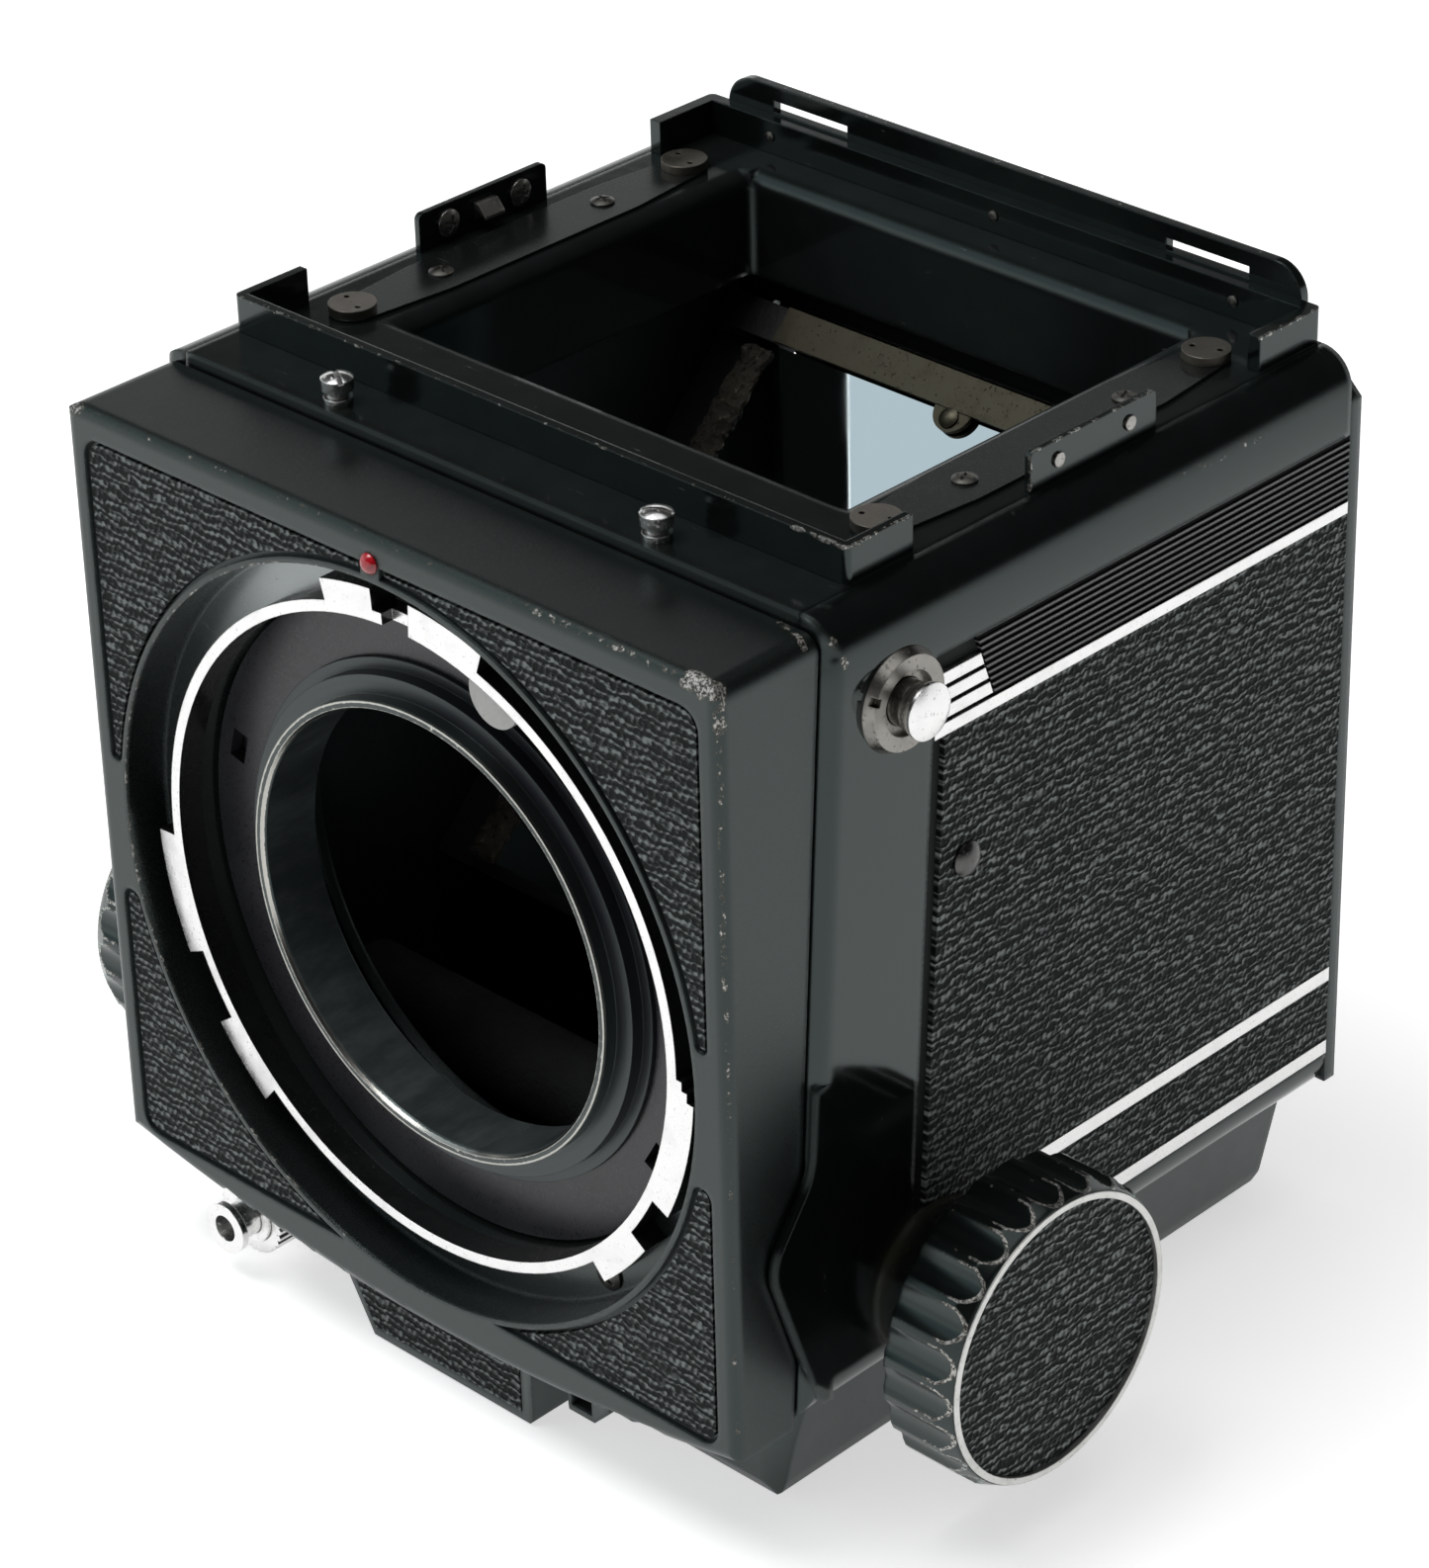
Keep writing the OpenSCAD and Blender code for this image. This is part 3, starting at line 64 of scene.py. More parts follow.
# Sizes of the frame that the looks follow, in metres
RECESS_R = 0.0463
THROAT_R = 0.0272
THROAT_RIM = 0.0007
THROAT_FRONT = 0.0042
FLUTE_R = 0.0033
FLUTE_AXIS_R = 0.02115
KNOB_R = 0.0186
KNOB_SHOULDER = 0.0693
RIB_PITCH = 0.0008556
RIB_CREST = 0.096757

# Number of flutes round a knob, and the slope of its coned end
FLUTES = 24
KNOB_CONE = 0.43

# Places on the sides, in mm
SHAFT_BACK = 30.8
SHAFT_DROP = 35.3
PANEL_FRONT = (24.5, 25.5)
PANEL_MIDDLE = 1.5

# Bands over which a finish changes, in metres, from least of it to most; RECESS_EDGE is half a band
RECESS_EDGE = 0.0002
RECESS_FLOOR = (0.0052, 0.0057)
RECESS_RIM = (0.0004, 0.0001)
RECESS_FRONT = (0.0006, 0.0001)
RECESS_LEFT = (0.01, -0.02)
THROAT_FACE = (THROAT_FRONT + 0.0006, THROAT_FRONT + 0.0002)
THROAT_EDGES = (0.00018, 0.0004)
THROAT_BORE = (THROAT_R + 0.0004, THROAT_R + 0.0001)
THROAT_STEP = (THROAT_R + 0.0011, THROAT_R + 0.0016)
FLUTE_RIM = (0.00032, 0.00008)
KNOB_SKIN = (0.0002, 0.00006)
KNOB_END = (-0.0035, 0.0004)
PANEL_FLOOR = (0.05238, 0.0522)
PANEL_HALF = (0.0421, 0.0418)

# Middle of the recess floor's painted highlight, a bright metal sector, and the band to each side of it, in
# radians about the lens axis
HIGHLIGHT_TURN = 2.04
HIGHLIGHT_BAND = (0.62, 0.06)

# Wider roll of a cover's upper edge: where it starts, its two stretches in metres, and its steepest slope
ROLL_START = 0.1046
ROLL_MIDDLE = 0.0057
ROLL_R = 0.0044
ROLL_SLOPE = 0.24

# Grain of the leather and depths of fine relief, in metres
LEATHER_PITCH = 0.00112
LEATHER_BEND = 0.0022
LEATHER_TWIST = 0.00085
LEATHER_DEPTH = 0.0006
PIT_DEPTH = 0.00004
RIB_DEPTH = 0.00003
TURNED_DEPTH = 0.00001

# How near another surface has to be for soil to gather, in metres, on paint and on plate
PAINT_SOIL_REACH = 0.005
PLATE_SOIL_REACH = 0.0012

# Colours
WHITE = (1.0, 1.0, 1.0)
ENAMEL = (0.0036, 0.0050, 0.0046)
ENAMEL_TINT = (0.82, 1.0, 0.965)
# The deck's black is painted lighter than ENAMEL, standing in for light on the inner face of its skirt
DECK_BLACK = (0.0064, 0.0080, 0.0076)
CHAMBER_BLACK = (0.0098, 0.0124, 0.0118)
RECESS_BLACK = (0.020, 0.0235, 0.023)
RECESS_HIGHLIGHT_METAL = (0.24, 0.25, 0.25)
METAL = (0.46, 0.45, 0.43)
WORN_METAL = (0.05, 0.047, 0.043)
PRIMER = (0.045, 0.036, 0.026)
DUST = (0.12, 0.118, 0.108)
SOIL = (0.036, 0.028, 0.016)
GROOVE_SOIL = (0.0045, 0.0040, 0.0030)


def times(colour, factor):
    """A colour made lighter or darker."""
    return tuple(factor * part for part in colour)


# Node materials


class Nodes:
    """A node tree, filled by short calls."""

    def __init__(self, tree):
        self.tree = tree

    def put(self, socket, value):
        """Link a socket to another one, or set its value."""
        if isinstance(value, bpy.types.NodeSocket):
            self.tree.links.new(value, socket)
        elif socket.type == "RGBA":
            socket.default_value = (*value, 1)
        else:
            socket.default_value = value

    def node(self, kind, inputs=None, **settings):
        """New shader node with its inputs and settings."""
        node = self.tree.nodes.new("ShaderNode" + kind)
        for key, value in settings.items():
            setattr(node, key, value)
        for key, value in (inputs or {}).items():
            self.put(node.inputs[key], value)
        return node

    def parts(self, vector):
        return self.node("SeparateXYZ", {0: vector}).outputs

    def scaled(self, vector, scale):
        return self.node("VectorMath", {0: vector, 1: scale}, operation="MULTIPLY").outputs[0]

    def distance(self, a, b):
        return self.node("VectorMath", {0: a, 1: b}, operation="DISTANCE").outputs["Value"]

    def dot(self, a, b):
        return self.node("VectorMath", {0: a, 1: b}, operation="DOT_PRODUCT").outputs["Value"]

    def noise(self, vector, scale, detail=2.0, roughness=0.5, distortion=0.0):
        inputs = {"Vector": vector, "Scale": scale, "Detail": detail, "Roughness": roughness,
                  "Distortion": distortion}
        return self.node("TexNoise", inputs).outputs[0]

    def math(self, operation, a, b=0.0, c=0.0):
        return self.node("Math", {0: a, 1: b, 2: c}, operation=operation).outputs[0]

    def product(self, first, *others):
        for other in others:
            first = self.math("MULTIPLY", first, other)
        return first

    def length(self, a, b):
        """Length of a vector from its two parts."""
        return self.math("SQRT", self.math("MULTIPLY_ADD", a, a, self.math("MULTIPLY", b, b)))

    def off(self, value, middle):
        """How far a value is from a middle one, either way."""
        return self.math("ABSOLUTE", self.math("SUBTRACT", value, middle))

    def stirred(self, value, pattern, share):
        """A value with a share of a pattern's swing about its middle added."""
        return self.math("MULTIPLY_ADD", self.math("SUBTRACT", pattern, 0.5), share, value)

    def clamp(self, value, low=0.0, high=1.0):
        return self.node("Clamp", {0: value, 1: low, 2: high}).outputs[0]

    def fit(self, value, low, high, to_low=0.0, to_high=1.0):
        """Smooth step of a value from low..high to to_low..to_high."""
        inputs = {"Value": value, "From Min": low, "From Max": high, "To Min": to_low, "To Max": to_high}
        return self.node("MapRange", inputs, interpolation_type="SMOOTHSTEP").outputs[0]

    def mix(self, factor, a, b):
        return self.node("Mix", {0: factor, 6: a, 7: b}, data_type="RGBA").outputs[2]


class Look(Nodes):
    """A material with one Principled shader."""

    def __init__(self, name, **values):
        self.material = bpy.data.materials.new(name)
        self.material.use_nodes = True
        super().__init__(self.material.node_tree)
        self.shader = self.tree.nodes["Principled BSDF"]
        self.place = self.node("TexCoord").outputs["Object"]
        self.set(**values)

    def set(self, **values):
        """Set the shader's inputs, each by its name with low lines for spaces."""
        for key, value in values.items():
            self.put(self.shader.inputs[key.replace("_", " ").title().replace("Ior", "IOR")], value)

    def crevices(self, distance):
        """Rises to 1 in corners where other surfaces lie within the distance, 0 on open faces."""
        node = self.node("AmbientOcclusion", {"Distance": distance}, samples=4)
        return self.math("SUBTRACT", 1.0, node.outputs["AO"])

    def near(self, zones):
        """Sum of soft balls (x, d, h, radius, strength) in mm."""
        total = None
        for x, d, h, radius, strength in zones:
            away = self.distance(self.place, at(x, d, h))
            ball = self.fit(away, radius / 1000, radius / 4000, 0.0, strength)
            total = ball if total is None else self.math("ADD", total, ball)
        return total

    def along(self, lines):
        """Largest of soft rods (start, end, radius, strength), places in mm."""
        total = None
        for start, end, radius, strength in lines:
            first = at(*start)
            run = at(*end) - first
            inputs = {0: self.place, 1: first}
            from_start = self.node("VectorMath", inputs, operation="SUBTRACT").outputs[0]
            share = self.clamp(self.dot(from_start, run / run.length_squared))
            inputs = {0: run, 1: share, 2: first}
            nearest = self.node("VectorMath", inputs, operation="MULTIPLY_ADD").outputs[0]
            away = self.distance(self.place, nearest)
            rod = self.fit(away, radius / 1000, radius / 4000, 0.0, strength)
            total = rod if total is None else self.math("MAXIMUM", total, rod)
        return total

    def about_axis(self):
        """Distance from the lens axis and depth behind the standard's face, in metres."""
        centre = at(0, 0, 0)
        parts = self.parts(self.place)
        rise = self.math("SUBTRACT", parts["Z"], centre.z)
        return self.length(parts["X"], rise), self.math("SUBTRACT", parts["Y"], centre.y)

    def turn_about_axis(self):
        """Angle about the lens axis, in radians from the right."""
        parts = self.parts(self.place)
        return self.math("ARCTAN2", self.math("SUBTRACT", parts["Z"], at(0, 0, 0).z), parts["X"])

    def bump(self, height, distance, normal=None):
        """Normal of a surface with relief of this depth, in metres, over another normal if there is one."""
        inputs = {"Height": height, "Distance": distance, "Strength": 1.0}
        if normal is not None:
            inputs["Normal"] = normal
        return self.node("Bump", inputs).outputs[0]

    def soft_edges(self, radius):
        """Normal of a surface with its edges rounded by this radius, in metres."""
        return self.node("Bevel", {"Radius": radius}, samples=3).outputs[0]


def paint(name, base=ENAMEL, gloss=0.08, wear=(), worn_at=None, dirt=(), soft=0.0006, peel=0.000011,
          bore=None, cover=False):
    """Black enamel: slight orange peel, hairlines, lines worn to bare metal, soil in corners.

    worn_at is a function that gives more worn places, bore is the radius of a recess on the lens axis, and
    cover is for the side covers, with their soiled panel seat and wide roll.
    """
    look = Look(name, IOR=1.55, specular_tint=ENAMEL_TINT)
    fine = look.noise(look.place, 5200.0, 3.0, 0.6)
    coarse = look.noise(look.place, 230.0, 2.0, 0.5)
    grain = look.noise(look.place, 1500.0, 4.0, 0.62)
    # Hairline scratches on open faces
    long_way = look.scaled(look.place, (260.0, 2400.0, 900.0))
    scratch = look.fit(look.noise(long_way, 1.0, 2.0, 0.5, 0.8), 0.70, 0.74)
    scratch = look.math("MULTIPLY", scratch, look.fit(coarse, 0.5, 0.66))
    colour = look.mix(look.fit(coarse, 0.3, 0.75), base, times(base, 1.35))
    colour = look.mix(look.math("MULTIPLY", scratch, 0.16), colour, DUST)
    rough = look.fit(fine, 0.2, 0.8, 0.85 * gloss, 1.2 * gloss)
    metal = 0.0
    if bore is not None:
        colour, rough, metal = turned_recess(look, bore, colour, rough)
    rough = look.math("MULTIPLY_ADD", scratch, 0.2, rough)
    if dirt:
        crevice = look.math("MULTIPLY", look.crevices(PAINT_SOIL_REACH), look.near(dirt))
        soiled = look.fit(look.math("MULTIPLY_ADD", grain, 0.5, crevice), 0.45, 0.95)
        colour = look.mix(soiled, colour, SOIL)
        rough = look.math("MULTIPLY_ADD", soiled, 0.6, rough)
    if cover:
        soiled = panel_seat(look)
        colour = look.mix(soiled, colour, GROOVE_SOIL)
        rough = look.math("MULTIPLY_ADD", soiled, 0.75, rough)
    height = coarse
    # Bare metal, with primer at its border
    amount = look.along(wear) if wear else None
    if worn_at is not None:
        more = worn_at(look)
        amount = more if amount is None else look.math("MAXIMUM", amount, more)
    if amount is not None:
        bare, border = chips(look, amount, grain)
        scuffed = look.fit(look.noise(look.place, 2900.0, 5.0, 0.7), 0.42, 0.58)
        colour = look.mix(border, colour, PRIMER)
        colour = look.mix(bare, colour, look.mix(scuffed, WORN_METAL, METAL))
        rough = look.math("MULTIPLY_ADD", bare, 0.26, rough)
        height = look.math("MULTIPLY_ADD", bare, -2.0, height)
        metal = bare if metal == 0.0 else look.math("MAXIMUM", metal, bare)
    look.set(base_color=colour, roughness=rough, metallic=metal)
    normal = look.soft_edges(soft)
    if cover:
        normal = look.bump(wide_roll(look), 1.0, normal)
    look.set(normal=look.bump(height, peel, normal))
    return look.material


def turned_recess(look, bore, colour, rough):
    """Colour, roughness and metal with a smoother recess, its floor painted with a bright metal highlight
    on the upper left.
    """
    radius, depth = look.about_axis()
    short_of_edge = bore - RECESS_EDGE
    past_edge = bore + RECESS_EDGE
    rough = look.math("MULTIPLY", rough, look.fit(radius, short_of_edge, past_edge, 0.8, 1.0))
    inside = look.fit(radius, past_edge, short_of_edge, 0.0, 0.7)
    colour = look.mix(inside, colour, RECESS_BLACK)
    # Painted highlight: a sector of the recess floor on the upper left made bright metal
    painted_highlight = look.fit(look.off(look.turn_about_axis(), HIGHLIGHT_TURN), *HIGHLIGHT_BAND)
    floor = look.fit(depth, *RECESS_FLOOR)
    metal = look.product(painted_highlight, floor, look.fit(radius, past_edge, bore - RECESS_EDGE / 2))
    return look.mix(metal, colour, RECESS_HIGHLIGHT_METAL), rough, metal


def chips(look, amount, grain):
    """Bare places, and the wider border round them, of an amount of wear that noise breaks up."""
    flaked = look.stirred(amount, look.noise(look.place, 760.0, 4.0, 0.65), 1.3)
    chipped = look.stirred(flaked, grain, 0.8)
    touched = look.fit(amount, 0.05, 0.2)
    bare = look.math("MULTIPLY", look.fit(chipped, 0.53, 0.60), touched)
    border = look.math("MULTIPLY", look.fit(chipped, 0.44, 0.52), touched)
    return bare, border


def panel_seat(look):
    """1 on the floor of the seats that hold leather and trim in the side covers."""
    parts = look.parts(look.place)
    deep = look.fit(look.math("ABSOLUTE", parts["X"]), *PANEL_FLOOR)
    behind = look.fit(parts["Y"], *(at(0, d, 0).y for d in PANEL_FRONT))
    level = look.fit(look.off(parts["Z"], at(0, 0, PANEL_MIDDLE).z), *PANEL_HALF)
    return look.product(deep, behind, level)


def wide_roll(look):
    """Height, in metres, that starts the roll of a cover's upper edge at the trim."""
    rise = look.parts(look.place)["Z"]
    low = look.clamp(look.math("SUBTRACT", rise, ROLL_START), 0.0, ROLL_MIDDLE)
    high = look.clamp(look.math("SUBTRACT", rise, ROLL_START + ROLL_MIDDLE), 0.0, ROLL_R)
    first = look.product(low, low, -ROLL_SLOPE / (2 * ROLL_MIDDLE))
    slope = look.math("MULTIPLY_ADD", high, ROLL_SLOPE / (2 * ROLL_R), -ROLL_SLOPE)
    return look.math("ADD", first, look.math("MULTIPLY", high, slope))


def flute_rims(look):
    """Worn rims of the flutes round both focus knobs."""
    centre = at(0, SHAFT_BACK, -SHAFT_DROP)
    parts = look.parts(look.place)
    y = look.math("SUBTRACT", parts["Y"], centre.y)
    z = look.math("SUBTRACT", parts["Z"], centre.z)
    radius = look.length(y, z)
    step = 2 * math.pi / FLUTES
    turn = look.math("WRAP", look.math("ARCTAN2", z, y), step / 2, -step / 2)
    across = look.math("MULTIPLY", radius, look.math("SINE", turn))
    outward = look.math("MULTIPLY", radius, look.math("COSINE", turn))
    away = look.length(across, look.math("SUBTRACT", outward, FLUTE_AXIS_R))
    side = look.fit(look.math("SUBTRACT", away, FLUTE_R), *FLUTE_RIM)
    # Outer radius: straight, then coned towards the face
    reach = look.math("SUBTRACT", look.math("ABSOLUTE", parts["X"]), KNOB_SHOULDER)
    skin = look.math("MULTIPLY_ADD", look.math("MAXIMUM", reach, 0.0), -KNOB_CONE, KNOB_R)
    outside = look.fit(look.math("SUBTRACT", skin, radius), *KNOB_SKIN)
    shoulder = look.fit(reach, *KNOB_END, 0.28, 0.78)
    return look.product(side, outside, shoulder)


def worn_rim_and_highlight(look):
    """Front edge of the round recess in the standard, worn to bare metal and partly a painted highlight,
    stronger towards the left.
    """
    radius, depth = look.about_axis()
    ring = look.fit(look.off(radius, RECESS_R), *RECESS_RIM)
    front = look.fit(depth, *RECESS_FRONT)
    # Stronger on the left, where the painted highlight falls
    leftward = look.fit(look.parts(look.place)["X"], *RECESS_LEFT, 0.22, 0.48)
    return look.product(ring, front, leftward)


def leather(name, along, low, ridge):
    """Leatherette with packed wavy ridges that run along one horizontal axis.

    low is the height up to which the grain is painted dark as shade in the valleys, and ridge is the colour
    of the ridges, painted lighter still on their crests as a highlight.
    """
    look = Look(name, IOR=1.5, specular_ior_level=0.18, specular_tint=ENAMEL_TINT)
    parts = look.parts(look.place)
    flat = look.node("CombineXYZ", {0: parts[along], 1: parts["Z"]}).outputs[0]
    # Ridges: waves across the height, bent and broken by noise that is longer along the run
    bend = look.noise(look.scaled(flat, (380.0, 680.0, 0.0)), 1.0, 2.0, 0.55)
    lifted = look.math("MULTIPLY_ADD", bend, LEATHER_BEND, parts["Z"])
    wave = look.math("SINE", look.math("MULTIPLY", lifted, 2 * math.pi / LEATHER_PITCH))
    breaks = look.noise(look.scaled(flat, (800.0, 1450.0, 0.0)), 1.0, 2.0, 0.6)
    height = look.math("MULTIPLY_ADD", wave, 0.30, look.math("MULTIPLY_ADD", breaks, 1.5, -0.22))
    # Short slanted strokes across the ridges
    slant = look.math("MULTIPLY_ADD", parts[along], 0.9, look.math("MULTIPLY", lifted, -0.5))
    twist = look.math("SINE", look.math("MULTIPLY", slant, 2 * math.pi / LEATHER_TWIST))
    height = look.math("MULTIPLY_ADD", twist, 0.13, height)
    pores = look.noise(flat, 4200.0, 2.0)
    height = look.math("MULTIPLY_ADD", pores, 0.16, height)
    # Valleys painted near black as shade, ridges, and crests painted pale as highlights, with a broad bloom
    crest_highlight = look.fit(height, 0.72, 1.16)
    height = look.fit(height, low, 0.98)
    bloom = look.math("MULTIPLY", look.fit(look.noise(flat, 60.0, 3.0), 0.45, 0.75), 0.12)
    colour = look.mix(height, (0.0007, 0.0010, 0.0009), ridge)
    colour = look.mix(crest_highlight, colour, times(ridge, 2.6))
    colour = look.mix(bloom, colour, (0.05, 0.053, 0.051))
    look.set(base_color=colour, roughness=look.fit(height, 0.0, 1.0, 0.7, 0.46))
    look.set(normal=look.bump(height, LEATHER_DEPTH))
    return look.material


def plated(name, base=(0.80, 0.80, 0.79), gloss=0.12, worn=0.5, soiled=(0.20, 0.16, 0.11), soft=0.0002,
           dark_sides=None):
    """Bright plate with pits, scuffs and soil in its crevices.

    dark_sides is the colour of faces that don't look forward, where they aren't bright.
    """
    look = Look(name)
    grain = look.noise(look.place, 2300.0, 4.0, 0.65)
    broad = look.noise(look.place, 330.0, 3.0, 0.6)
    pits = look.math("MULTIPLY", look.fit(grain, 0.60, 0.72), worn)
    corner = look.crevices(PLATE_SOIL_REACH)
    crevice = look.fit(look.math("MULTIPLY_ADD", grain, 0.35, corner), 0.5, 0.95)
    stain = look.math("MULTIPLY", look.fit(broad, 0.48, 0.72), 0.35 * worn)
    colour = look.mix(stain, base, times(base, 0.62))
    colour = look.mix(pits, colour, soiled)
    colour = look.mix(look.math("MULTIPLY", crevice, 0.8), colour, times(soiled, 0.35))
    rough = look.fit(broad, 0.25, 0.75, gloss, gloss + 0.16)
    rough = look.math("MULTIPLY_ADD", pits, 0.3, rough)
    if dark_sides is None:
        look.set(metallic=1.0)
    else:
        facing = look.node("NewGeometry").outputs["True Normal"]
        plate = look.fit(look.parts(facing)["Y"], -0.4, -0.7)
        colour = look.mix(plate, dark_sides, colour)
        look.set(metallic=plate)
    look.set(base_color=colour, roughness=rough)
    look.set(normal=look.bump(look.math("MULTIPLY", pits, -1.0), PIT_DEPTH, look.soft_edges(soft)))
    return look.material


def ribbed_strip(name):
    """Black strip with fine pale lines along the crests of its ribs."""
    look = Look(name, IOR=1.5, specular_ior_level=0.1)
    grain = look.noise(look.place, 1800.0, 3.0, 0.6)
    above = look.math("SUBTRACT", look.parts(look.place)["Z"], RIB_CREST)
    wave = look.math("COSINE", look.math("MULTIPLY", above, 2 * math.pi / RIB_PITCH))
    line = look.fit(look.stirred(wave, grain, 0.4), 0.45, 0.75)
    colour = look.mix(line, (0.0022, 0.0027, 0.0025), (0.30, 0.31, 0.31))
    look.set(base_color=colour, roughness=look.fit(line, 0.0, 1.0, 0.5, 0.36))
    look.set(normal=look.bump(wave, RIB_DEPTH))
    return look.material


def matte(name, low, high, rough=0.6, scale=1400.0, depth=0.00005, flecks=None, sheen=0.0):
    """Dull surface, mottled between two colours and, where asked, with pale flecks."""
    look = Look(name, IOR=1.45, sheen_weight=sheen)
    grain = look.noise(look.place, scale, 5.0, 0.65)
    broad = look.noise(look.place, 110.0, 3.0, 0.6)
    mottled = look.math("MULTIPLY_ADD", broad, 0.6, look.math("MULTIPLY", grain, 0.4))
    colour = look.mix(look.fit(mottled, 0.32, 0.68), low, high)
    if flecks is not None:
        speck = look.fit(look.noise(look.place, 900.0, 6.0, 0.75), 0.60, 0.68)
        colour = look.mix(speck, colour, flecks)
    look.set(base_color=colour, roughness=look.fit(grain, 0.2, 0.8, rough - 0.1, rough + 0.1))
    look.set(normal=look.bump(grain, depth))
    return look.material


def throat(name):
    """Black anodised tube, turned, with a bore painted lighter in streaks, partly rubbing and partly a
    painted sheen, and a rim that is worn along its two edges.
    """
    look = Look(name, IOR=1.55, specular_tint=ENAMEL_TINT)
    radius, depth = look.about_axis()
    grain = look.noise(look.place, 1500.0, 4.0, 0.65)
    turned = look.noise(look.node("CombineXYZ", {0: radius, 1: depth}).outputs[0], 7000.0, 2.0)
    front = look.fit(depth, *THROAT_FACE)
    edge = look.fit(look.off(radius, THROAT_R + THROAT_RIM), *THROAT_EDGES, 0.36, 1.0)
    worn = look.math("MULTIPLY", front, edge)
    worn = look.fit(look.stirred(worn, grain, 0.9), 0.46, 0.58)
    worn = look.math("MULTIPLY", worn, look.fit(front, 0.02, 0.2))
    # Bore painted lighter in streaks, partly rubbing and partly a painted sheen; rim; and the step outside
    # it
    streaked_sheen = look.noise(look.scaled(look.place, (170.0, 60.0, 170.0)), 1.0, 5.0, 0.66)
    bore = look.mix(look.fit(streaked_sheen, 0.34, 0.72), (0.032, 0.038, 0.038), (0.070, 0.080, 0.080))
    inside = look.fit(radius, *THROAT_BORE)
    step = look.fit(radius, *THROAT_STEP)
    colour = look.mix(inside, (0.016, 0.018, 0.018), bore)
    colour = look.mix(step, colour, (0.010, 0.009, 0.013))
    colour = look.mix(worn, colour, (0.44, 0.43, 0.40))
    rough = look.math("MULTIPLY_ADD", turned, 0.12, look.fit(step, 0.0, 1.0, 0.14, 0.30))
    look.set(base_color=colour, roughness=rough, metallic=worn)
    look.set(normal=look.bump(turned, TURNED_DEPTH, look.soft_edges(0.0002)))
    return look.material


def mirror_glass(name):
    """Front-silvered glass with dust and faint haze."""
    look = Look(name, metallic=1.0)
    haze = look.noise(look.place, 90.0, 4.0, 0.6)
    speck = look.fit(look.noise(look.place, 2600.0, 3.0, 0.7), 0.70, 0.76)
    colour = look.mix(look.math("MULTIPLY", speck, 0.6), (0.80, 0.86, 0.88), (0.34, 0.33, 0.31))
    look.set(base_color=colour, roughness=look.fit(haze, 0.3, 0.8, 0.015, 0.06))
    return look.material


def red_bead(name):
    """Drop of red lacquer, slightly cloudy."""
    look = Look(name, IOR=1.5, coat_weight=0.6)
    cloud = look.noise(look.place, 1400.0, 3.0, 0.6)
    colour = look.mix(look.fit(cloud, 0.3, 0.7), (0.30, 0.003, 0.008), (0.50, 0.008, 0.018))
    look.set(base_color=colour, roughness=look.fit(cloud, 0.2, 0.8, 0.08, 0.18))
    return look.material


# Soiled zones: x, d, h, radius, strength
KNOB_DIRT = [(x, SHAFT_BACK, -SHAFT_DROP, 24, 1.3) for x in (58, -58)]

# Worn lines: start, end, radius, strength
BOARD_WEAR = [
    ((24, 0.3, 51.8), (47, 0.3, 51.8), 1.1, 0.46),
    ((-48, 0.3, 51.8), (24, 0.3, 51.8), 0.8, 0.34),
    ((47, 0.6, 51.6), (51, 0.7, 51.4), 2.2, 0.74),
    ((51, 0.6, 51.4), (51, 0.5, 47), 1.5, 0.58),
    ((50.9, 0.4, 47), (50.9, 0.4, -2), 0.8, 0.42),
    ((50.9, 0.4, -2), (50.9, 0.4, -42), 0.6, 0.32),
    ((-49, 0.6, 51.6), (-51, 0.6, 50), 1.6, 0.60),
    ((46, 15, 51.9), (51, 13.5, 51.5), 1.0, 0.56),
    ((51, 0.5, -42), (47, 0.5, -50), 0.9, 0.34),
]
SEAT_WEAR = [
    ((-47.8, 23.2, 58.1), (-34, 23.2, 58.1), 0.7, 0.48),
    ((-34, 23.2, 58.1), (40, 23.2, 58.1), 0.5, 0.38),
    ((40, 23.2, 58.1), (47.8, 23.2, 58.1), 0.8, 0.60),
    ((47.8, 23.2, 58.1), (47.8, 33.5, 58.1), 0.7, 0.54),
    ((47.8, 23.2, 58.1), (47.8, 23.2, 54), 0.6, 0.50),
    ((-47.8, 23.2, 58.1), (-47.8, 33, 58.1), 0.5, 0.42),
    ((47.8, 91.4, 57.9), (47.8, 102, 57.9), 0.8, 0.50),
    ((-44, 103, 61.6), (44, 103, 61.6), 0.5, 0.36),
]
CLIP_WEAR = [
    ((48, 52, 58.4), (48, 73, 58.4), 0.5, 0.48),
    ((48, 52, 58.4), (48, 52, 54), 0.6, 0.46),
    ((-48, 52, 58.4), (-48, 73, 58.4), 0.5, 0.38),
]
COVER_WEAR = [
    ((52.3, 72, 49.3), (52.3, 87, 49.3), 1.4, 0.36),
    ((52.3, 60, 50), (52.3, 64, 50), 1.0, 0.36),
    ((52, 42, 50), (52, 45, 50), 0.9, 0.36),
    ((51.5, 16.5, 51.5), (52.3, 18, 48), 1.0, 0.52),
]

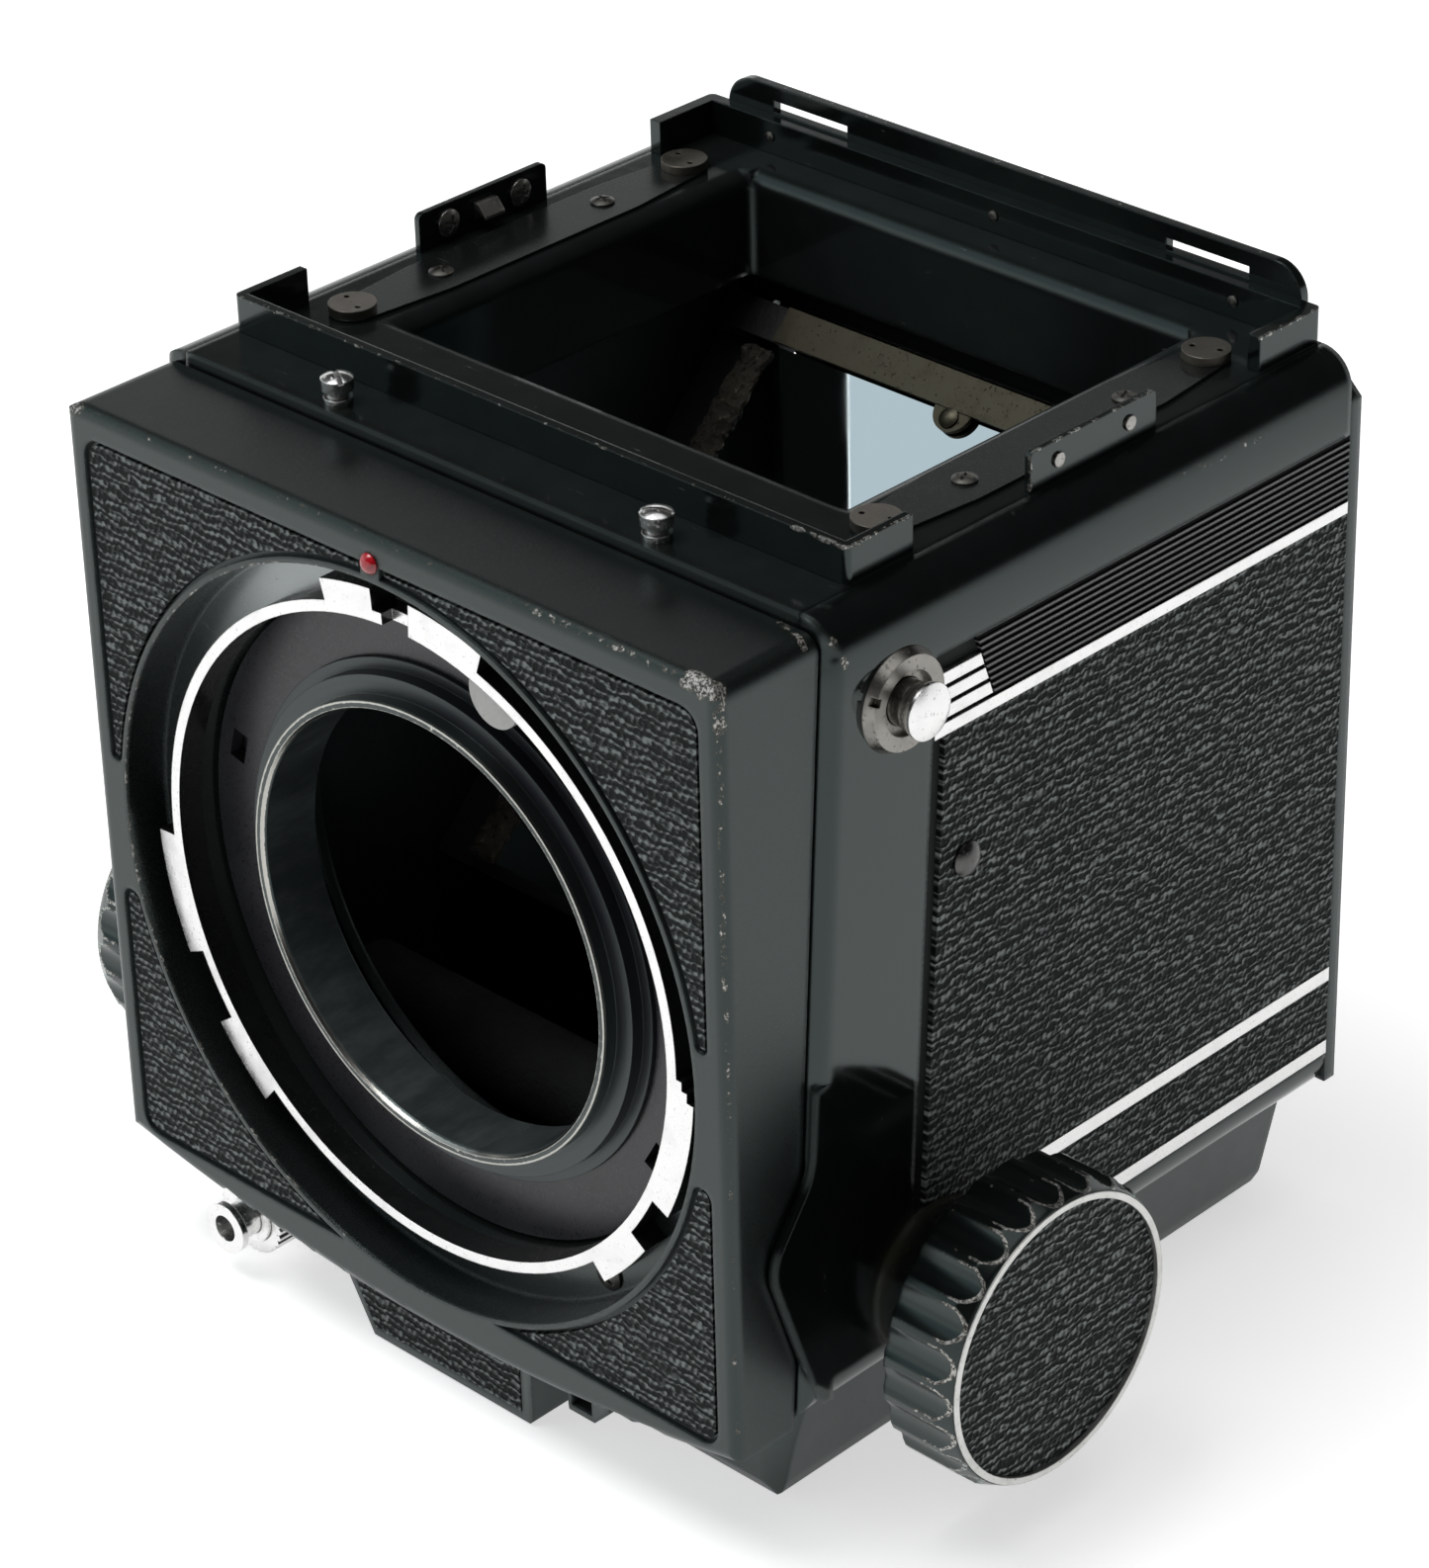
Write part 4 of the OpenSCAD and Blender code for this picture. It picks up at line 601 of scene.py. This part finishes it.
LOOKS = {
    # Enamel
    "casing": paint("casing_enamel", soft=0.0011),
    "cover": paint("cover_enamel", wear=COVER_WEAR, dirt=KNOB_DIRT, soft=0.0011, cover=True),
    # Base housing: enamel painted about ten times lighter than the casing's, partly a dust haze and partly
    # painted light for its brightly lit side
    "base": paint("base_enamel_dust_and_painted_light", base=(0.036, 0.040, 0.039), gloss=0.34, dirt=KNOB_DIRT, soft=0.0011),
    "deck": paint("deck_enamel", base=DECK_BLACK, gloss=0.1, soft=0.0009),
    "board": paint("board_enamel", gloss=0.3, wear=BOARD_WEAR, worn_at=worn_rim_and_highlight, soft=0.0008,
                   bore=RECESS_R),
    "seat": paint("seat_enamel", gloss=0.12, wear=SEAT_WEAR, soft=0.0003),
    "clip": paint("clip_enamel", gloss=0.14, wear=CLIP_WEAR, soft=0.0003),
    "knob": paint("knob_enamel", gloss=0.17, worn_at=flute_rims, dirt=KNOB_DIRT, soft=0.0005),
    "inner": paint("chamber_black", base=CHAMBER_BLACK, gloss=0.3),
    "strip_steel": paint("spring_black", base=(0.0050, 0.0056, 0.0055), gloss=0.24, soft=0.0001,
                         peel=0.000003),
    # Leather: one leatherette, its side pieces painted lighter than the front ones to stand in for the
    # light on the sides
    "leather_front": leather("leather_front", "X", 0.31, (0.079, 0.087, 0.085)),
    "leather_side_painted_lighter": leather("leather_side_painted_lighter", "Y", 0.32, (0.136, 0.149, 0.145)),
    # Bare and plated metal
    "chrome": plated("chrome"),
    "mount_chrome": plated("mount_chrome", gloss=0.2, worn=0.35, dark_sides=(0.006, 0.0068, 0.0066)),
    "trim": plated("trim_chrome", gloss=0.2, worn=0.35),
    "knob_silver": plated("knob_silver", base=(0.62, 0.62, 0.60), gloss=0.34, worn=0.7,
                          soiled=(0.26, 0.25, 0.23)),
    "washer": plated("washer_steel", base=(0.26, 0.25, 0.23), gloss=0.24, worn=0.8,
                     soiled=(0.06, 0.05, 0.034)),
    "steel": plated("worn_steel", base=(0.34, 0.33, 0.31), gloss=0.3, worn=0.9),
    "plug_steel": plated("plug_steel", base=(0.10, 0.10, 0.097), gloss=0.22, worn=0.5),
    "dark_screw": plated("dark_screw", base=(0.11, 0.108, 0.10), gloss=0.3, worn=0.8),
    "clip_screw": plated("clip_screw", base=(0.36, 0.35, 0.33), gloss=0.22, worn=0.8),
    "tan_steel": plated("tan_steel", base=(0.19, 0.175, 0.15), gloss=0.34, worn=1.0,
                        soiled=(0.07, 0.058, 0.04)),
    "brass": plated("tarnished_brass", base=(0.060, 0.055, 0.040), gloss=0.38, worn=0.9,
                    soiled=(0.03, 0.025, 0.016), soft=0.00002),
    "gear_brass": plated("gear_brass", base=(0.62, 0.47, 0.22), gloss=0.26, worn=0.6),
    # Dull surfaces
    "foam": matte("crumbled_foam", (0.010, 0.009, 0.007), (0.05, 0.042, 0.03), 0.9, 900.0, 0.0005,
                  flecks=(0.20, 0.18, 0.14)),
    "cloth": matte("bellows_cloth", (0.006, 0.006, 0.0065), (0.014, 0.014, 0.015), 0.75, 4200.0, 0.00004,
                   sheen=0.15),
    "matte": matte("matte_black", (0.004, 0.0048, 0.0046), (0.009, 0.010, 0.0098), 0.5),
    "hump": matte("dusty_black", (0.008, 0.0085, 0.0085), (0.022, 0.023, 0.023), 0.7, 1600.0, 0.0002),
    "anodised": matte("anodised_violet", (0.019, 0.0195, 0.0225), (0.030, 0.0300, 0.0345), 0.32, 3000.0,
                      0.00001),
    "ivory": matte("speckled_ivory", (0.42, 0.42, 0.405), (0.54, 0.54, 0.52), 0.5, 2600.0, 0.00003,
                   flecks=(0.26, 0.25, 0.24)),
    # Single pieces
    "ribbed": ribbed_strip("ribbed_strip"),
    "mirror": mirror_glass("mirror_silver"),
    "red": red_bead("red_bead"),
    "throat": throat("throat_black"),
}

NODE_LOOKS = {
    "casing": ["rear_plate", "cocking_lever"],
    "cover": ["side_cover_left", "side_cover_right"],
    "base": ["base_housing"],
    "deck": ["top_deck"],
    "board": ["lens_board"],
    "seat": ["finder_front_wall", "finder_rear_wall", "rear_bracket"],
    "clip": ["clip_left", "clip_right"],
    "knob": ["focus_knob_left", "focus_knob_right"],
    "inner": ["body_casting", "gate_frame", "chamber_front_wall"],
    "strip_steel": ["spring_strips"],
    "leather_front": ["base_leather", "board_leathers"],
    "leather_side_painted_lighter": ["side_leather_left", "side_leather_right", "knob_leathers", "lever_cap"],
    "chrome": ["strap_lug_left", "strap_lug_right", "finder_posts", "release_button", "release_sleeve",
               "release_collar"],
    "mount_chrome": ["bayonet_ring"],
    "trim": ["side_stripes_left", "side_stripes_right"],
    "knob_silver": ["knob_rings"],
    "washer": ["strap_washers"],
    "steel": ["clip_tab", "tripod_bush", "focus_shaft", "focus_rack_left", "focus_rack_right"],
    "plug_steel": ["side_plug"],
    "dark_screw": ["seat_screws", "ring_screws"],
    "clip_screw": ["clip_screws"],
    "tan_steel": ["spring_discs"],
    "brass": ["mirror_bar", "mirror_pin"],
    "gear_brass": ["focus_pinions"],
    "foam": ["mirror_foam"],
    "cloth": ["bellows"],
    "matte": ["light_baffle", "mirror_frame"],
    "hump": ["shaft_sleeve"],
    "anodised": ["cocking_ring"],
    "ivory": ["ring_tab"],
    "ribbed": ["name_strip_left", "name_strip_right"],
    "mirror": ["mirror_glass"],
    "red": ["index_dot"],
    "throat": ["throat_tube"],
}


def dress(piece, look):
    """Give a piece one of the looks, in place of what it had."""
    piece.data.materials.clear()
    piece.data.materials.append(LOOKS[look])


for look_name, node_names in NODE_LOOKS.items():
    for node_name in node_names:
        dress(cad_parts[node_name], look_name)


def in_scene(name, data):
    """New object in the scene."""
    piece = bpy.data.objects.new(name, data)
    bpy.context.scene.collection.objects.link(piece)
    return piece


# Bellows: a closed pleated sleeve between the chamber's front wall and the standard, with lengths in mm
BELLOWS_REAR = 16.7
BELLOWS_FRONT = 12.5
PLEATS = 10
FOLD_OUT = 41.3
FOLD_IN = 36.6
CLOTH_DEPTH = 0.9
CORNER_R = 4.0
CORNER_STEPS = 6


def square_ring(half):
    """Points (x, h) of a rounded square about the lens axis, in mm."""
    points = []
    for quarter in range(4):
        middle = math.radians(90 * quarter + 45)
        centre = (half - CORNER_R) * math.sqrt(2)
        for step in range(CORNER_STEPS):
            turn = math.radians(90 * quarter + 90 * step / (CORNER_STEPS - 1))
            points.append((centre * math.cos(middle) + CORNER_R * math.cos(turn),
                           centre * math.sin(middle) + CORNER_R * math.sin(turn)))
    return points


def even_when_drawn_out(share):
    """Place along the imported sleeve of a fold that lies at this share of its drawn-out length."""
    return 0.5 - math.sin(math.asin(1 - 2 * share) / 3)


def bellows():
    """Sleeve of folds, out along its outer skin and back along its inner one."""
    rings = []
    folds = 2 * PLEATS
    for skin, order in ((0.0, range(folds + 1)), (CLOTH_DEPTH, range(folds, -1, -1))):
        for fold in order:
            d = BELLOWS_REAR + (BELLOWS_FRONT - BELLOWS_REAR) * even_when_drawn_out(fold / folds)
            half = (FOLD_OUT if fold % 2 else FOLD_IN) - skin
            rings.append([at(x, d, h) for x, h in square_ring(half)])
    count = len(rings[0])
    points = [point for ring in rings for point in ring]
    faces = []
    for i in range(len(rings)):
        j = (i + 1) % len(rings)
        for k in range(count):
            m = (k + 1) % count
            faces.append((i * count + k, i * count + m, j * count + m, j * count + k))
    mesh = bpy.data.meshes.new("bellows_folds")
    mesh.from_pydata(points, [], faces)
    mesh.validate()
    return in_scene("bellows_folds", mesh)


folds = bellows()
dress(folds, "cloth")
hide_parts("bellows")
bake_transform(folds)


# Foam: the mirror's strips and a seal under the film gate's upper edge, crumbled, with lengths in metres
FOAM_STEP = 0.0011
FOAM_ROUNDS = 8
FOAM_CRUMBLE = 0.0006
CRUMBS_PER_METRE = 900
CRUMB_SEED = 7
GATE_HALF = 0.035
SEAL_HEIGHT = 0.0014
SEAL_SHORTER = 0.001


def crumbled(name, shape):
    """Piece from a mesh of plain strips, cut fine and roughened."""
    bmesh.ops.remove_doubles(shape, verts=shape.verts, dist=1e-6)
    for _ in range(FOAM_ROUNDS):
        bmesh.ops.triangulate(shape, faces=shape.faces)
        long_edges = [edge for edge in shape.edges if edge.calc_length() > FOAM_STEP]
        if not long_edges:
            break
        bmesh.ops.subdivide_edges(shape, edges=long_edges, cuts=1)
    bmesh.ops.triangulate(shape, faces=shape.faces)
    for point in shape.verts:
        point.co += FOAM_CRUMBLE * noise.turbulence_vector(CRUMBS_PER_METRE * point.co, 3, False)
    mesh = bpy.data.meshes.new(name)
    shape.to_mesh(mesh)
    shape.free()
    piece = in_scene(name, mesh)
    dress(piece, "foam")
    return piece


# Without a seed, the noise that crumbles the foam would differ from run to run
noise.seed_set(CRUMB_SEED)

strips = bmesh.new()
strips.from_mesh(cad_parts["mirror_foam"].data)
foam = crumbled("foam_crumbs", strips)
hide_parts("mirror_foam")
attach(foam, "mirror")

gate_low, gate_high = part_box("gate_frame")
gate_top = at(0, 0, 1000 * GATE_HALF).z
seal_size = Vector((2 * GATE_HALF - SEAL_SHORTER, gate_high[1] - gate_low[1] - SEAL_SHORTER, SEAL_HEIGHT))
seal_place = Vector((0.0, (gate_low[1] + gate_high[1]) / 2, gate_top - SEAL_HEIGHT / 2))
strip = bmesh.new()
bmesh.ops.create_cube(strip, size=1.0, matrix=Matrix.LocRotScale(seal_place, None, seal_size))
seal = crumbled("gate_seal", strip)
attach(seal, "body")


# Studio floor: white, with a glow that only shows where the floor itself is seen
FLOOR_HALF = 6.0
FLOOR_Z = -0.0003
FLOOR_GLOW = 0.6
SQUARE = ((-1, -1), (1, -1), (1, 1), (-1, 1))


def shows_background(nodes):
    """1 for rays that show the background itself: camera, glossy and transmission rays."""
    path = nodes.node("LightPath").outputs
    seen = path["Is Camera Ray"]
    for other in ("Is Glossy Ray", "Is Transmission Ray"):
        seen = nodes.math("MAXIMUM", seen, path[other])
    return seen


floor_mesh = bpy.data.meshes.new("floor")
floor_mesh.from_pydata([(x * FLOOR_HALF, y * FLOOR_HALF, FLOOR_Z) for x, y in SQUARE], [], [(0, 1, 2, 3)])
floor = in_scene("floor", floor_mesh)
floor_look = Look("floor_white", base_color=(0.9, 0.9, 0.9), roughness=0.9, specular_ior_level=0.0,
                  emission_color=WHITE)
floor_look.set(emission_strength=floor_look.math("MULTIPLY", shows_background(floor_look), FLOOR_GLOW))
floor_mesh.materials.append(floor_look.material)

# Surround, by the sine of its height: white below 20 degrees, and lower on the right, dark from 24 to 58, a
# dome above 68, and a cool window on the upper left
SURROUND = (0.342, 0.412)
DOME = (0.848, 0.927)
RIGHT_FALL = 0.42
DARK = 0.03
DOME_LIGHT = 1.0
WINDOW_AIM = Vector((-0.61, -0.50, 0.62))
WINDOW_EDGE = (0.88, 0.95)
WINDOW_LIGHT = 0.62
WINDOW_COLOUR = (0.80, 0.94, 1.0)

world = bpy.data.worlds.new("studio")
bpy.context.scene.world = world
world.use_nodes = True
world.node_tree.nodes.clear()
sky = Nodes(world.node_tree)
aim = sky.node("TexCoord").outputs["Generated"]
parts = sky.parts(aim)
height = parts["Z"]
raised = sky.math("MULTIPLY_ADD", sky.math("MAXIMUM", parts["X"], 0.0), RIGHT_FALL, height)
light = sky.math("ADD", sky.fit(raised, *SURROUND, 1.0, DARK), sky.fit(height, *DOME, 0.0, DOME_LIGHT))
# The camera itself sees at least plain white
light = sky.math("MAXIMUM", light, sky.node("LightPath").outputs["Is Camera Ray"])
window = sky.fit(sky.dot(aim, WINDOW_AIM.normalized()), *WINDOW_EDGE, 0.0, WINDOW_LIGHT)
surround = sky.node("Background", {"Color": WHITE, "Strength": light})
pane = sky.node("Background", {"Color": WINDOW_COLOUR, "Strength": window})
both = sky.node("AddShader", {0: surround.outputs[0], 1: pane.outputs[0]})
sky.node("OutputWorld", {0: both.outputs[0]})

# Soft key light above the front left
KEY_SIZE = 0.7
KEY_POWER = 7.0
KEY_PLACE = Vector((-0.30, -0.35, 1.25))
KEY_AIM = Vector((0, 0, 0.05))

lamp_data = bpy.data.lights.new("soft_key", "AREA")
lamp_data.shape = "DISK"
lamp_data.size = KEY_SIZE
lamp_data.energy = KEY_POWER
lamp = in_scene("soft_key", lamp_data)
lamp.location = KEY_PLACE
lamp.rotation_euler = (KEY_AIM - KEY_PLACE).to_track_quat("-Z", "Y").to_euler()
lamp.visible_camera = False

# Camera at the photograph's viewing angle
LENS = 122.29
SENSOR = 36.0
NEAREST = 0.01
TURN = math.radians(44.654)
TILT = math.radians(29.969)
ROLL = math.radians(-1.539)
STAND = Vector((0.38268, -0.39118, 0.37460))

back = Vector((math.sin(TURN) * math.cos(TILT), -math.cos(TURN) * math.cos(TILT), math.sin(TILT)))
level = Vector((math.cos(TURN), math.sin(TURN), 0))
upright = back.cross(level)
right = level * math.cos(ROLL) + upright * math.sin(ROLL)
up = upright * math.cos(ROLL) - level * math.sin(ROLL)
camera_data = bpy.data.cameras.new("camera")
camera_data.lens = LENS
camera_data.sensor_width = SENSOR
camera_data.clip_start = NEAREST
camera = in_scene("camera", camera_data)
camera.matrix_world = Matrix(((right.x, up.x, back.x, STAND.x), (right.y, up.y, back.y, STAND.y),
                              (right.z, up.z, back.z, STAND.z), (0, 0, 0, 1)))
bpy.context.scene.camera = camera
bpy.context.scene.view_settings.view_transform = "Standard"
